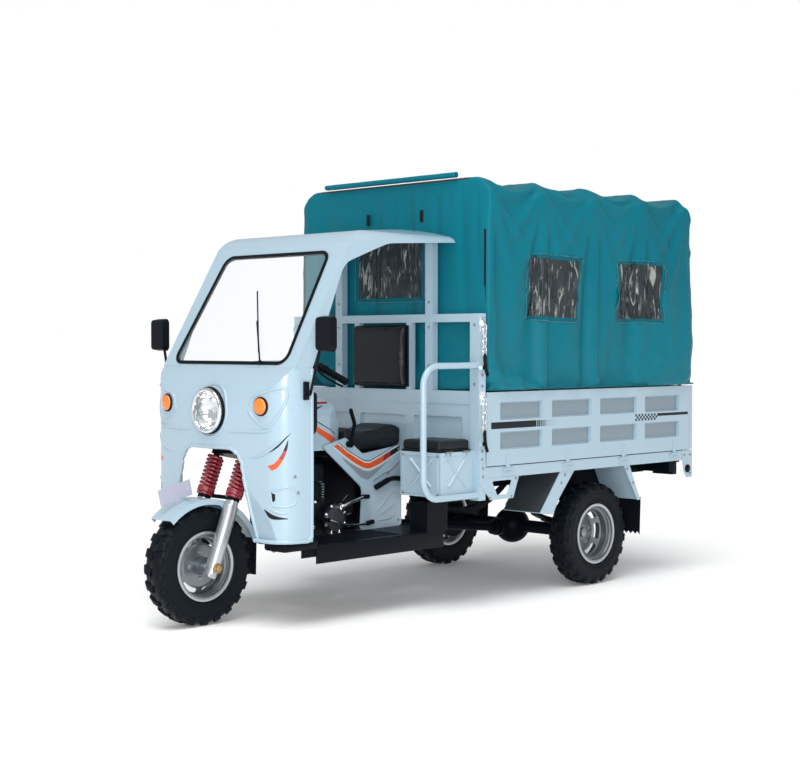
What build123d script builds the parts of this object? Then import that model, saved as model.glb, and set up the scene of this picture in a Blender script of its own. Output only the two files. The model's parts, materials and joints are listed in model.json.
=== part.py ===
from build123d import *
import math
import os

os.makedirs("parts", exist_ok=True)

# Driving dimensions in millimetres: +X forward, +Y left, Z up from the ground, X = 0 mid-length
OVERALL_LENGTH = 3440
WHEELBASE = 2320
TRACK = 1110
FIT = 0.3
SWING_GAP = 6

# Tyres and rims
TYRE_RADIUS = 284
TYRE_WIDTH = 132
LUG_DEPTH = 10
LUG_COUNT = 22
LUG_LENGTH = 36
LUG_GROOVE = 14
LUG_SEAT = 14
SHOULDER_STEP = 9
BEAD_RADIUS = 152.5
RIM_SEAT = 106
FLANGE_HEIGHT = 15
FLANGE_THICK = 5
RIM_WALL = 5
DISC_THICK = 6
HUB_RADIUS = 44
VENT_COUNT = 6
VENT_WIDTH = 22
DRUM_RADIUS = 106
DRUM_INNER = 84
AXLE_STUB_RADIUS = 17

# Steering
RAKE = 21.5
FORK_OFFSET = 35
FORK_HALF_WIDTH = 110
FORK_LEG_RADIUS = 30
FORK_TUBE_RADIUS = 15
FORK_LEG_TOP = 345
SPRING_RADIUS = 41
SPRING_TURNS = 9
YOKE_LOW = 556
YOKE_THICK = 32
HEAD_LENGTH = 170
HEAD_RADIUS = 27
STEM_RADIUS = 14
STEM_PLAY = 0.9
HEAD_GAP = 0.5
FRONT_AXLE_RADIUS = 10
FRONT_HUB_HALF = 58
FENDER_GAP = 36
FENDER_THICK = 3
FENDER_HALF_WIDTH = 76
GRIP_RADIUS = 16
BAR_RADIUS = 11

# Load bed and gates
BED_WIDTH = 1400
BED_LENGTH = 1850
FLOOR_TOP = 717
FLOOR_THICK = 5
SILL_HEIGHT = 4
BED_RAIL_HEIGHT = 57
BED_RAIL_WIDTH = 45
GATE_TOP = 1098
GATE_THICK = 30
GATE_GAP = 5
PRESS_DEPTH = 17
PRESS_WIDTH = 92
PRESS_RIB = 78
HINGE_RADIUS = 7
HINGE_OUT = 7
HINGE_DROP = 20
PIN_RADIUS = 3.2
HINGE_PLAY = 0.6
KNUCKLE_HALF = 15
LEAF_HALF = 35

# Canopy
CANOPY_TOP = 2200
CANOPY_WALL = 4
CANOPY_OVERHANG = 6
CANOPY_CORNER = 120
CANOPY_SAG = 30
END_WINDOW_LENGTH = 500
END_WINDOW_RISE = 88
BOW_RADIUS = 11
BOW_SPIGOT = 10
PURLIN_RADIUS = 9
PURLIN_DROP = 250
BOW_COUNT = 5
WINDOW_LENGTH = 395
WINDOW_HEIGHT = 315
WINDOW_DROP = 371
ROLL_RADIUS = 16
ROLL_HALF = 490

# Headboard
POST_DEPTH = 50
POST_WIDTH = 62
POST_LOW = 552
BAR_TOP = 1497
BAR_HEIGHT = 42
WALL_TOP = 1104
WALL_THICK = 36
CAB_POST_WIDTH = 52
CAB_POST_HALF = 340

# Cab
CAB_WIDTH = 1000
CAB_WALL = 4
CAB_REAR = 1150
FAIRING_LOW = 415
FAIRING_TOP = 1232
NOSE_X = 1366
ROOF_TOP = 1950
ROOF_REAR = 148
GLASS_THICK = 5
SEAL_WIDTH = 16
LAMP_RADIUS = 106
LAMP_Z = 1024
DASH_REAR = 1118

# Frame and floor
RAIL_INSET = 175
RAIL_HALF = TRACK / 2 - RAIL_INSET
RAIL_WIDTH = 40
RAIL_HEIGHT = 84
TAIL_BEAM_HALF = 620
CRADLE_HALF = 125
CRADLE_RADIUS = 19
CRADLE_Z = 345
FOOTBOARD_TOP = 385
FOOTBOARD_THICK = 6
FOOTBOARD_HALF = 455
SEAT_RAIL_Z = 775
SEAT_RAIL_RADIUS = 11

# Passenger seat boxes and guard rails
SEAT_BOX_LENGTH = 245
SEAT_BOX_WIDTH = 275
SEAT_BOX_LOW = 580
SEAT_BOX_TOP = 803
SEAT_BOX_WALL = 3
CUSHION_THICK = 60
GUARD_RADIUS = 16
GUARD_TOP = 1235
GUARD_REACH = 390
GUARD_BEND = 100

# Places that follow from the driving dimensions
FRONT_AXLE_X = OVERALL_LENGTH / 2 - TYRE_RADIUS
REAR_AXLE_X = FRONT_AXLE_X - WHEELBASE
WHEEL_Y = TRACK / 2
BED_HALF = BED_WIDTH / 2
TAIL_FACE_X = -OVERALL_LENGTH / 2 + HINGE_OUT + HINGE_RADIUS
BED_FRONT_X = TAIL_FACE_X + BED_LENGTH
POST_FRONT_X = BED_FRONT_X + SWING_GAP + POST_DEPTH
POST_REAR_X = BED_FRONT_X + SWING_GAP
GATE_LOW = FLOOR_TOP + GATE_GAP
SILL_TOP = FLOOR_TOP + SILL_HEIGHT
HINGE_Z = GATE_LOW - HINGE_DROP
TAIL_INNER_X = TAIL_FACE_X + GATE_THICK
SIDE_GATE_REAR = TAIL_INNER_X + SWING_GAP
BED_LOW = FLOOR_TOP - BED_RAIL_HEIGHT
RAIL_TOP = BED_LOW - FIT
RAIL_LOW = RAIL_TOP - RAIL_HEIGHT
BED_RAIL_OUT = BED_HALF - 3
CANOPY_LOW = GATE_TOP + SWING_GAP + 2
CANOPY_HALF = BED_HALF + CANOPY_OVERHANG
CANOPY_FRONT = POST_REAR_X - 18
CANOPY_REAR = TAIL_FACE_X + 2
BOW_HALF = BED_HALF - GATE_THICK - BOW_RADIUS - 9
BOW_TOP = CANOPY_TOP - CANOPY_WALL - FIT - BOW_RADIUS
CAB_HALF = CAB_WIDTH / 2
POST_OUT = BED_RAIL_OUT
POST_IN = POST_OUT - POST_WIDTH
SEAT_BOX_REAR = POST_FRONT_X + FIT
SEAT_BOX_FRONT = SEAT_BOX_REAR + SEAT_BOX_LENGTH
SEAT_BOX_OUT = POST_OUT - 37
SEAT_BOX_IN = SEAT_BOX_OUT - SEAT_BOX_WIDTH
RAKE_SIN = math.sin(math.radians(RAKE))
RAKE_COS = math.cos(math.radians(RAKE))
FORK = Plane(
    origin=(FRONT_AXLE_X, 0, TYRE_RADIUS),
    x_dir=(RAKE_COS, 0, RAKE_SIN),
    z_dir=(-RAKE_SIN, 0, RAKE_COS),
).location
HEAD_LOW = YOKE_LOW + YOKE_THICK + HEAD_GAP
HEAD_TOP = HEAD_LOW + HEAD_LENGTH
YOKE_TOP = HEAD_TOP + HEAD_GAP


def fork_point(u, y, w):
    """World place of a point given ahead of, beside and along the fork legs."""
    return (
        FRONT_AXLE_X + u * RAKE_COS - w * RAKE_SIN,
        y,
        TYRE_RADIUS + u * RAKE_SIN + w * RAKE_COS,
    )


def block(x0, x1, y0, y1, z0, z1):
    """Box between two corners."""
    return Pos((x0 + x1) / 2, (y0 + y1) / 2, (z0 + z1) / 2) * Box(x1 - x0, y1 - y0, z1 - z0)


def outline(points, radius=0):
    """Face inside a closed outline whose corners may be rounded."""
    if radius:
        return make_face(FilletPolyline(*points, radius=radius, close=True))
    return make_face(Polyline(*points, close=True))


def side_plate(points, y0, y1, radius=0):
    """Plate with an outline in X and Z between two Y planes."""
    face = outline([(x, y0, z) for x, z in points], radius)
    return extrude(face, amount=y1 - y0, dir=(0, 1, 0))


def front_plate(points, x0, x1, radius=0):
    """Plate with an outline in Y and Z between two X planes."""
    face = outline([(x0, y, z) for y, z in points], radius)
    return extrude(face, amount=x1 - x0, dir=(1, 0, 0))


def plan_plate(points, z0, z1, radius=0):
    """Plate with an outline in X and Y between two heights."""
    face = outline([(x, y, z0) for x, y in points], radius)
    return extrude(face, amount=z1 - z0, dir=(0, 0, 1))


def rod(start, end, radius):
    """Round bar between two points."""
    run = Vector(*end) - Vector(*start)
    place = Plane(origin=start, z_dir=run).location
    return place * Cylinder(radius, run.length, align=(Align.CENTER, Align.CENTER, Align.MIN))


def pipe(points, radius, bend):
    """Round bar along a bent path."""
    path = FilletPolyline(*points, radius=bend)
    return sweep(Plane(origin=path @ 0, z_dir=path % 0) * Circle(radius), path=path)


def turned(points):
    """Solid turned about the wheel axis from an outline of (across, radius) points."""
    face = outline([(0, y, r) for y, r in points])
    return revolve(face, axis=Axis.Y)


def both(shape):
    """A left piece and its mirror image on the right."""
    return [shape, mirror(shape, about=Plane.XZ)]


def right_of(shape):
    """The mirror image on the right of a left piece."""
    return mirror(shape, about=Plane.XZ)


# Wheels, built about their own centre with +Y pointing outboard
def tyre():
    half = TYRE_WIDTH / 2
    seat = RIM_SEAT / 2 - FIT
    root = TYRE_RADIUS - LUG_DEPTH
    bead = BEAD_RADIUS + FIT
    clear = BEAD_RADIUS + FLANGE_HEIGHT + FIT + 1
    shoulder = half - SHOULDER_STEP
    low = root - LUG_SEAT
    right = [(seat, bead), (seat, clear), (half, (clear + root) / 2 + 5), (shoulder, low)]
    left = [(-y, r) for y, r in reversed(right)]
    carcass = turned(right + left)
    step = 360 / LUG_COUNT
    facets = RegularPolygon(root, 2 * LUG_COUNT, major_radius=False, rotation=step / 4)
    band = extrude(Plane.XZ * (facets - Circle(low - 5)), amount=shoulder - 1, both=True)
    lug = block(-LUG_LENGTH / 2, LUG_LENGTH / 2, LUG_GROOVE / 2, shoulder + 2, low, TYRE_RADIUS)
    lugs = [Rot(0, step * i, 0) * lug for i in range(LUG_COUNT)]
    lugs += [Rot(0, step * (i + 0.5), 0) * right_of(lug) for i in range(LUG_COUNT)]
    return carcass.fuse(band, *lugs)


def rim(disc_y, dish, drum):
    seat = RIM_SEAT / 2
    edge = seat + FLANGE_THICK
    flange = BEAD_RADIUS + FLANGE_HEIGHT
    well = BEAD_RADIUS - 12
    outer = [(edge, flange), (seat, flange), (seat, BEAD_RADIUS), (30, BEAD_RADIUS), (24, well)]
    outer += [(-y, r) for y, r in reversed(outer)]
    inner = [(-edge, BEAD_RADIUS - RIM_WALL), (-33, BEAD_RADIUS - RIM_WALL), (-27, well - RIM_WALL)]
    inner += [(-y, r) for y, r in reversed(inner)]
    shape = turned(outer + inner)
    face_y = disc_y - dish
    disc = [
        (disc_y, well - 2),
        (face_y, well - 44),
        (face_y, HUB_RADIUS - 4),
        (face_y + DISC_THICK, HUB_RADIUS - 4),
        (face_y + DISC_THICK, well - 42),
        (disc_y + DISC_THICK, well - 2),
    ]
    face_disc = turned(disc)
    middle = (well - 2 + well - 44) / 2 + 2
    slot = extrude(Plane.XZ * SlotArc(CenterArc((0, 0), middle, -17, 34), VENT_WIDTH), amount=60, both=True)
    for i in range(VENT_COUNT):
        face_disc -= Rot(0, 360 / VENT_COUNT * i, 0) * slot
    shape += face_disc
    if drum:
        hub_in = -DRUM_INNER
        hub_out = REAR_HUB_OUT
        drum = [(hub_in, 20), (hub_in, DRUM_RADIUS), (face_y - 10, DRUM_RADIUS)]
        drum += [(face_y, DRUM_INNER), (face_y, 20)]
        shape += turned(drum)
        bore = AXLE_STUB_RADIUS + FIT
    else:
        hub_in = -FRONT_HUB_HALF
        hub_out = FRONT_HUB_HALF
        shape += turned([(hub_in + 6, 20), (hub_in + 6, 78), (face_y - 4, 84), (face_y, 20)])
        bore = FRONT_AXLE_RADIUS + FIT
    shape += turned([(hub_in, 2), (hub_in, HUB_RADIUS), (hub_out, HUB_RADIUS), (hub_out, 2)])
    shape -= Rot(90, 0, 0) * Cylinder(bore, 400)
    return shape


def at_front(shape):
    return Pos(FRONT_AXLE_X, 0, TYRE_RADIUS) * shape


def at_rear(shape):
    return Pos(REAR_AXLE_X, WHEEL_Y, TYRE_RADIUS) * shape


REAR_DISC_Y = -14
REAR_DISH = 40
REAR_HUB_OUT = REAR_DISC_Y - REAR_DISH + DISC_THICK + 14
FRONT_DISC_Y = -8
FRONT_DISH = -16

# Rear axle and springs
BACKING_Y = WHEEL_Y - DRUM_INNER - 4
LEAF_COUNT = 4
LEAF_THICK = 8
LEAF_HALF_WIDTH = 25
LEAF_REACH = 430
LEAF_RISE = 165
AXLE_TUBE_RADIUS = 36
LEAF_SEAT_Z = TYRE_RADIUS + AXLE_TUBE_RADIUS + 4


def rear_axle():
    shape = rod((0, -BACKING_Y, 0), (0, BACKING_Y, 0), AXLE_TUBE_RADIUS)
    shape += Sphere(104)
    shape += rod((0, 0, 0), (150, 0, 0), 50)
    for side in (1, -1):
        shape += rod((0, side * (BACKING_Y - 5), 0), (0, side * BACKING_Y, 0), DRUM_RADIUS + 4)
        shape += rod((0, side * BACKING_Y, 0), (0, side * (WHEEL_Y + REAR_HUB_OUT + 4), 0), AXLE_STUB_RADIUS)
        y = side * RAIL_HALF
        shape += block(-55, 55, y - 32, y + 32, 0, LEAF_SEAT_Z - TYRE_RADIUS)
    return Pos(REAR_AXLE_X, 0, TYRE_RADIUS) * shape


def leaf_springs():
    pack = None
    low = LEAF_SEAT_Z + FIT
    for i in range(LEAF_COUNT):
        share = 1 - 0.2 * (LEAF_COUNT - 1 - i)
        reach = LEAF_REACH * share
        rise = LEAF_RISE * share**2
        z = low + LEAF_THICK * i
        top = z + LEAF_THICK
        under = ThreePointArc((-reach, 0, z + rise), (0, 0, z), (reach, 0, z + rise))
        over = ThreePointArc((reach, 0, top + rise), (0, 0, top), (-reach, 0, top + rise))
        ends = [Line(under @ 1, over @ 0), Line(over @ 1, under @ 0)]
        leaf = extrude(make_face([under, over] + ends), amount=LEAF_HALF_WIDTH, both=True, dir=(0, 1, 0))
        pack = leaf if pack is None else pack + leaf
    eye_z = low + LEAF_THICK * (LEAF_COUNT - 0.5) + LEAF_RISE
    for x in (-LEAF_REACH, LEAF_REACH):
        pack += Pos(x, 0, eye_z) * Rot(90, 0, 0) * Cylinder(16, 2 * LEAF_HALF_WIDTH)
    pack = Pos(REAR_AXLE_X, RAIL_HALF, 0) * pack
    return Compound(both(pack))


EYE_TOP = LEAF_SEAT_Z + FIT + LEAF_THICK * (LEAF_COUNT - 0.5) + LEAF_RISE + 16

# Frame: two rails under the bed, a cradle round the engine and the head tube
RAIL_FRONT = POST_FRONT_X + 150
RAIL_REAR = TAIL_FACE_X + 70
CROSS_X = POST_REAR_X + 20
SEAT_POST_X = POST_FRONT_X + 25
SEAT_RAIL_HALF = 115
BACKBONE_RADIUS = 22
BACKBONE_Z = 785
BACKBONE_FRONT = 960
DOWN_TUBE_X = 985
FLOOR_BAR_X = (980, 520, 240)
OUTRIGGER_X = POST_FRONT_X + 100


def frame():
    rail_in = RAIL_HALF - RAIL_WIDTH / 2
    rail_out = RAIL_HALF + RAIL_WIDTH / 2
    rail = block(RAIL_REAR, POST_FRONT_X - 4, rail_in, rail_out, RAIL_LOW, RAIL_TOP)
    for x in (REAR_AXLE_X - LEAF_REACH, REAR_AXLE_X + LEAF_REACH):
        rail += block(x - 22, x + 22, RAIL_HALF - 20, RAIL_HALF + 20, EYE_TOP + FIT, RAIL_LOW + 5)
    rest_z = SEAT_BOX_LOW - FIT
    rail += block(POST_REAR_X - 60, RAIL_FRONT, rail_in, rail_out, SEAT_BOX_LOW - 35, rest_z)
    rail += block(
        OUTRIGGER_X - 20, OUTRIGGER_X + 20, RAIL_HALF, SEAT_BOX_OUT - 12, SEAT_BOX_LOW - 30, rest_z
    )
    cradle = pipe(
        [
            (BACKBONE_FRONT + 110, 0, BACKBONE_Z + 66),
            (BACKBONE_FRONT + 40, 70, 690),
            (DOWN_TUBE_X, CRADLE_HALF, 500),
            (DOWN_TUBE_X, CRADLE_HALF, CRADLE_Z),
            (CROSS_X + 110, CRADLE_HALF, CRADLE_Z),
            (CROSS_X, CRADLE_HALF, RAIL_TOP - 40),
        ],
        CRADLE_RADIUS,
        60,
    )
    seat_rail = pipe(
        [
            (SEAT_POST_X, SEAT_RAIL_HALF, 470),
            (SEAT_POST_X, SEAT_RAIL_HALF, SEAT_RAIL_Z),
            (640, SEAT_RAIL_HALF, SEAT_RAIL_Z),
            (640, 0, SEAT_RAIL_Z),
        ],
        SEAT_RAIL_RADIUS,
        40,
    )
    shape = rail + cradle + seat_rail
    shape += right_of(shape)
    for x, half in ((RAIL_REAR + 30, TAIL_BEAM_HALF), (REAR_AXLE_X, RAIL_HALF), (-250, RAIL_HALF)):
        shape += block(x - 25, x + 25, -half, half, RAIL_LOW + 10, RAIL_TOP - 10)
    shape += block(CROSS_X - 30, CROSS_X + 30, -RAIL_HALF, RAIL_HALF, RAIL_TOP - 70, RAIL_TOP)
    for x in FLOOR_BAR_X:
        bar_top = FOOTBOARD_TOP - FOOTBOARD_THICK - FIT
        bar = block(x - 20, x + 20, CRADLE_HALF - 10, FOOTBOARD_HALF - 20, CRADLE_Z, bar_top)
        shape += bar
        shape += right_of(bar)
    head_mid = fork_point(-FORK_OFFSET, 0, (HEAD_LOW + HEAD_TOP) / 2)
    shape += pipe(
        [
            head_mid,
            (BACKBONE_FRONT, 0, BACKBONE_Z),
            (640, 0, BACKBONE_Z),
            (CROSS_X, 0, RAIL_TOP - 40),
        ],
        BACKBONE_RADIUS,
        80,
    )
    head = rod(fork_point(-FORK_OFFSET, 0, HEAD_LOW), fork_point(-FORK_OFFSET, 0, HEAD_TOP), HEAD_RADIUS)
    bore = rod(
        fork_point(-FORK_OFFSET, 0, HEAD_LOW - 40),
        fork_point(-FORK_OFFSET, 0, HEAD_TOP + 40),
        STEM_RADIUS + STEM_PLAY,
    )
    return shape + head - bore


# Engine, drive and exhaust
ENGINE_LOW = CRADLE_Z + CRADLE_RADIUS + FIT
ENGINE_REAR = 590
ENGINE_FRONT = 860
CYLINDER_X = 735
CASE_HALF = 100
CASE_TOP = 545
FIN_COUNT = 8
FIN_PITCH = 13
FIN_THICK = 5
HEAD_HEIGHT = 80
SHAFT_RADIUS = 24
SHAFT_Z = 425
COVERS = (
    # centre X, centre Z, radius, inner Y, outer Y
    (665, 455, 80, CASE_HALF - 2, 138),
    (700, 462, 88, -140, -CASE_HALF + 2),
)


def engine():
    profile = [
        (ENGINE_REAR, ENGINE_LOW + 30),
        (ENGINE_REAR + 40, ENGINE_LOW + 4),
        (ENGINE_FRONT - 40, ENGINE_LOW + 4),
        (ENGINE_FRONT, ENGINE_LOW + 40),
        (ENGINE_FRONT - 20, CASE_TOP - 40),
        (ENGINE_FRONT - 50, CASE_TOP),
        (ENGINE_REAR + 50, CASE_TOP),
        (ENGINE_REAR, CASE_TOP - 60),
    ]
    shape = side_plate(profile, -CASE_HALF, CASE_HALF)
    for x in (ENGINE_REAR + 45, ENGINE_FRONT - 45):
        shape += block(x - 15, x + 15, -CRADLE_HALF - 12, CRADLE_HALF + 12, ENGINE_LOW, ENGINE_LOW + 12)
    for x, z, radius, inner, outer in COVERS:
        shape += rod((x, inner, z), (x, outer, z), radius)
    fin_top = CASE_TOP + FIN_COUNT * FIN_PITCH
    shape += rod((CYLINDER_X, 0, CASE_TOP - 5), (CYLINDER_X, 0, fin_top + 10), 48)
    for i in range(FIN_COUNT):
        z = CASE_TOP + FIN_PITCH * (i + 0.6)
        shape += block(CYLINDER_X - 66, CYLINDER_X + 66, -62, 62, z, z + FIN_THICK)
    shape += block(CYLINDER_X - 60, CYLINDER_X + 60, -58, 58, fin_top, fin_top + HEAD_HEIGHT)
    shape += rod((CYLINDER_X + 55, 0, fin_top + 35), (CYLINDER_X + 74, 0, fin_top + 35), 24)
    shape += rod((ENGINE_REAR - 42, 0, SHAFT_Z), (ENGINE_REAR + 5, 0, SHAFT_Z), 42)
    return shape


def exhaust():
    port = (CYLINDER_X + 74 + FIT, 0, CASE_TOP + FIN_COUNT * FIN_PITCH + 35)
    header = pipe(
        [
            port,
            (port[0] + 85, 0, port[2]),
            (port[0] + 110, -50, 480),
            (port[0] + 90, -70, 297),
            (port[0] - 40, -215, 297),
            (400, -235, 297),
        ],
        17,
        55,
    )
    muffler = rod((410, -235, 297), (-110, -235, 297), 48)
    tail = rod((-100, -235, 297), (-190, -235, 285), 15)
    return header + muffler + tail


def driveshaft():
    start = (ENGINE_REAR - 42 - FIT, 0, SHAFT_Z)
    end = (REAR_AXLE_X + 150 + FIT + 12, 0, TYRE_RADIUS)
    shaft = rod(start, end, SHAFT_RADIUS)
    shaft += rod((REAR_AXLE_X + 150 + FIT, 0, TYRE_RADIUS), (REAR_AXLE_X + 180, 0, TYRE_RADIUS), 42)
    return shaft - block(start[0], start[0] + 60, -60, 60, start[2] - 60, start[2] + 60)


# Rider's pieces
SADDLE_HALF = 142
PANEL_IN = SADDLE_HALF + 2.5
PANEL_THICK = 10
TANK_HALF = 138
TANK_LOW = BACKBONE_Z + BACKBONE_RADIUS + FIT


def fuel_tank():
    profile = [
        (612, TANK_LOW + 45),
        (612, 935),
        (668, 1045),
        (740, 1078),
        (860, 1072),
        (940, 1000),
        (948, TANK_LOW + 60),
        (905, TANK_LOW),
        (690, TANK_LOW),
    ]
    shape = side_plate(profile, -TANK_HALF, TANK_HALF, [20, 30, 60, 120, 90, 60, 40, 30, 30])
    plan = [(560, -80), (700, -TANK_HALF), (900, -TANK_HALF), (990, -70)]
    plan += [(x, -y) for x, y in reversed(plan)]
    shape &= plan_plate(plan, TANK_LOW - 10, 1100, 60)
    front = [(-TANK_HALF, TANK_LOW - 5), (-TANK_HALF, 1000), (-70, 1085)]
    front += [(-y, z) for y, z in reversed(front)]
    shape &= front_plate(front, 560, 1000, [5, 70, 60, 60, 70, 5])
    cap = Pos(770, 0, 1070) * Cylinder(34, 36)
    return shape + cap


def saddle():
    low = SEAT_RAIL_Z + SEAT_RAIL_RADIUS + FIT
    profile = [
        (606, low + 62),
        (596, 920),
        (460, 884),
        (330, 892),
        (225, 928),
        (186, 905),
        (192, low + 30),
        (300, low),
        (520, low),
    ]
    shape = side_plate(profile, -SADDLE_HALF, SADDLE_HALF, [10, 22, 150, 150, 40, 20, 20, 20, 20])
    top = [(-SADDLE_HALF, low - 5), (-SADDLE_HALF, 905), (-100, 940)]
    top += [(-y, z) for y, z in reversed(top)]
    return shape & front_plate(top, 150, 640, [5, 35, 35, 35, 35, 5])


def side_panels():
    profile = [
        (772, 828),
        (608, 866),
        (490, 778),
        (204, 812),
        (204, FOOTBOARD_TOP),
        (504, FOOTBOARD_TOP),
        (488, 600),
    ]
    panel = side_plate(profile, PANEL_IN, PANEL_IN + PANEL_THICK, [12, 20, 40, 10, 20, 20, 60])
    return Compound(both(panel))


def footboard():
    low = FOOTBOARD_TOP - FOOTBOARD_THICK
    inner = PANEL_IN + PANEL_THICK + 6
    rear = POST_FRONT_X + 2
    front = 1085
    plate = block(rear, front, inner, FOOTBOARD_HALF, low, FOOTBOARD_TOP)
    plate += block(rear, front, FOOTBOARD_HALF - 5, FOOTBOARD_HALF, low - 44, low)
    toe = FAIRING_LOW - FIT
    plate += block(front - 5, front, 305, FOOTBOARD_HALF, low, toe)
    plate += block(front - 5, CAB_REAR + 120, 305, FOOTBOARD_HALF, toe - FOOTBOARD_THICK, toe)
    plate += block(front - 5, CAB_REAR + 30, FOOTBOARD_HALF - 5, FOOTBOARD_HALF, low - 44, toe)
    return Compound(both(plate))


# Cab: a fairing with open legs, and a shell of pillars and roof above it
GLASS_LOW = (1262, FAIRING_TOP)
GLASS_HIGH = (904, 1832)
GLASS_RUN = math.hypot(GLASS_HIGH[0] - GLASS_LOW[0], GLASS_HIGH[1] - GLASS_LOW[1])
GLASS_UP = ((GLASS_HIGH[0] - GLASS_LOW[0]) / GLASS_RUN, (GLASS_HIGH[1] - GLASS_LOW[1]) / GLASS_RUN)
GLASS_OUT = (GLASS_UP[1], -GLASS_UP[0])
GLASS_PLANE = Plane(
    origin=(GLASS_LOW[0], 0, GLASS_LOW[1]),
    x_dir=(0, 1, 0),
    z_dir=(GLASS_OUT[0], 0, GLASS_OUT[1]),
).location
WINDSCREEN = [(-432, 14), (432, 14), (392, 652), (-392, 652)]


def fairing_body(inset):
    """Closed form of the fairing, drawn in by the wall."""
    half = CAB_HALF - inset
    edge_x = NOSE_X - 41 - inset
    nose = ThreePointArc((edge_x, half, 0), (NOSE_X - 1 - inset, 0, 0), (edge_x, -half, 0))
    rear_x = CAB_REAR - inset
    back = Polyline((edge_x, -half, 0), (rear_x, -half, 0), (rear_x, half, 0), (edge_x, half, 0))
    plan = make_face(nose.edges() + back.edges())
    corners = plan.vertices().sort_by(Axis.X)[-2:]
    plan = fillet(corners, radius=120 - inset)
    body = extrude(plan, amount=2000, dir=(0, 0, 1))
    low_x = NOSE_X - 44 - inset
    nose = NOSE_X - inset
    front_low = ThreePointArc((low_x, 0, FAIRING_LOW - inset), (nose - 8, 0, 730), (nose, 0, 985))
    brow = (GLASS_LOW[0] - inset, 0, FAIRING_TOP)
    front_high = ThreePointArc((nose, 0, 985), (nose - 26, 0, 1125), brow)
    rest = Polyline(
        (GLASS_LOW[0] - inset, 0, FAIRING_TOP),
        (CAB_REAR - 2 * inset, 0, FAIRING_TOP),
        (CAB_REAR - 2 * inset, 0, FAIRING_LOW - inset),
        (low_x, 0, FAIRING_LOW - inset),
    )
    profile = make_face(front_low.edges() + front_high.edges() + rest.edges())
    return body & extrude(profile, amount=800, both=True, dir=(0, 1, 0))


def fairing():
    shape = fairing_body(0) - fairing_body(CAB_WALL)
    arch = [(-306, 380), (-216, 842), (216, 842), (306, 380)]
    shape -= front_plate(arch, 1100, 1500, [5, 90, 90, 5])
    lamp = rod((1200, 0, LAMP_Z), (1500, 0, LAMP_Z), LAMP_RADIUS + FIT)
    return shape - lamp


def cab_shell():
    def hood(inset):
        z0 = FAIRING_TOP + FIT - inset
        front = (GLASS_LOW[0] - inset * 1.2, z0)
        top = (GLASS_HIGH[0] - inset * 1.2, GLASS_HIGH[1])
        rear = ROOF_REAR - inset
        profile = [front, top, (846, 1890 - inset), (rear, 1948 - inset), (rear, z0)]
        solid = side_plate(profile, -CAB_HALF - 10, CAB_HALF + 10, [1, 40, 120, 1, 1])
        half = CAB_HALF - inset
        eave = ROOF_TOP - 52 - inset
        crown = ThreePointArc((0, -430, eave), (0, 0, ROOF_TOP - inset), (0, 430, eave))
        left = ThreePointArc((0, 430, ROOF_TOP - 52 - inset), (0, half - 18, 1872 - inset), (0, half, 1812))
        right = ThreePointArc((0, -half, 1812), (0, -half + 18, 1872 - inset), (0, -430, eave))
        rest = Polyline((0, half, 1812), (0, half, z0 - 20), (0, -half, z0 - 20), (0, -half, 1812))
        face = make_face(crown.edges() + left.edges() + rest.edges() + right.edges())
        return solid & extrude(face, amount=1500, dir=(1, 0, 0))

    shape = hood(0) - hood(CAB_WALL)
    side = [
        (CAB_REAR, FAIRING_TOP - 60),
        (CAB_REAR, FAIRING_TOP),
        (1112, 1320),
        (945, 1728),
        (650, 1836),
        (ROOF_REAR - 60, 1866),
        (ROOF_REAR - 60, FAIRING_TOP - 60),
    ]
    shape -= side_plate(side, -CAB_HALF - 40, CAB_HALF + 40, [1, 1, 200, 120, 300, 1, 1])
    hole = extrude(outline(WINDSCREEN, 62), amount=40, both=True)
    return shape - GLASS_PLANE * hole


def windscreen_seal():
    outer = offset(outline(WINDSCREEN, 62), -FIT)
    inner = offset(outline(WINDSCREEN, 62), -SEAL_WIDTH)
    ring = extrude(outer - inner, amount=6) + extrude(outer - inner, amount=-9)
    return GLASS_PLANE * ring


def windscreen():
    glass = offset(outline(WINDSCREEN, 62), -SEAL_WIDTH - FIT)
    return GLASS_PLANE * (Pos(0, 0, -4) * extrude(glass, amount=GLASS_THICK))


def wiper():
    pivot = Cylinder(9, 10, align=(Align.CENTER, Align.CENTER, Align.MIN))
    base = GLASS_PLANE * (Pos(250, 24, 6 + FIT) * pivot)
    arm = rod((250, 24, 13), (90, 250, 9), 4)
    blade = rod((200, 80, 5), (-20, 430, 5), 3.5)
    link = rod((90, 250, 9), (90, 255, 5), 4)
    return base + GLASS_PLANE * (arm + blade + link)


def headlamp_shell():
    cup = rod((NOSE_X - 96, 0, LAMP_Z), (NOSE_X + 12, 0, LAMP_Z), LAMP_RADIUS)
    cup -= rod((NOSE_X - 84, 0, LAMP_Z), (NOSE_X + 40, 0, LAMP_Z), LAMP_RADIUS - 10)
    ring = rod((NOSE_X + 12, 0, LAMP_Z), (NOSE_X + 20, 0, LAMP_Z), LAMP_RADIUS - 3)
    ring -= rod((NOSE_X, 0, LAMP_Z), (NOSE_X + 40, 0, LAMP_Z), LAMP_RADIUS - 14)
    return cup + ring


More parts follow.
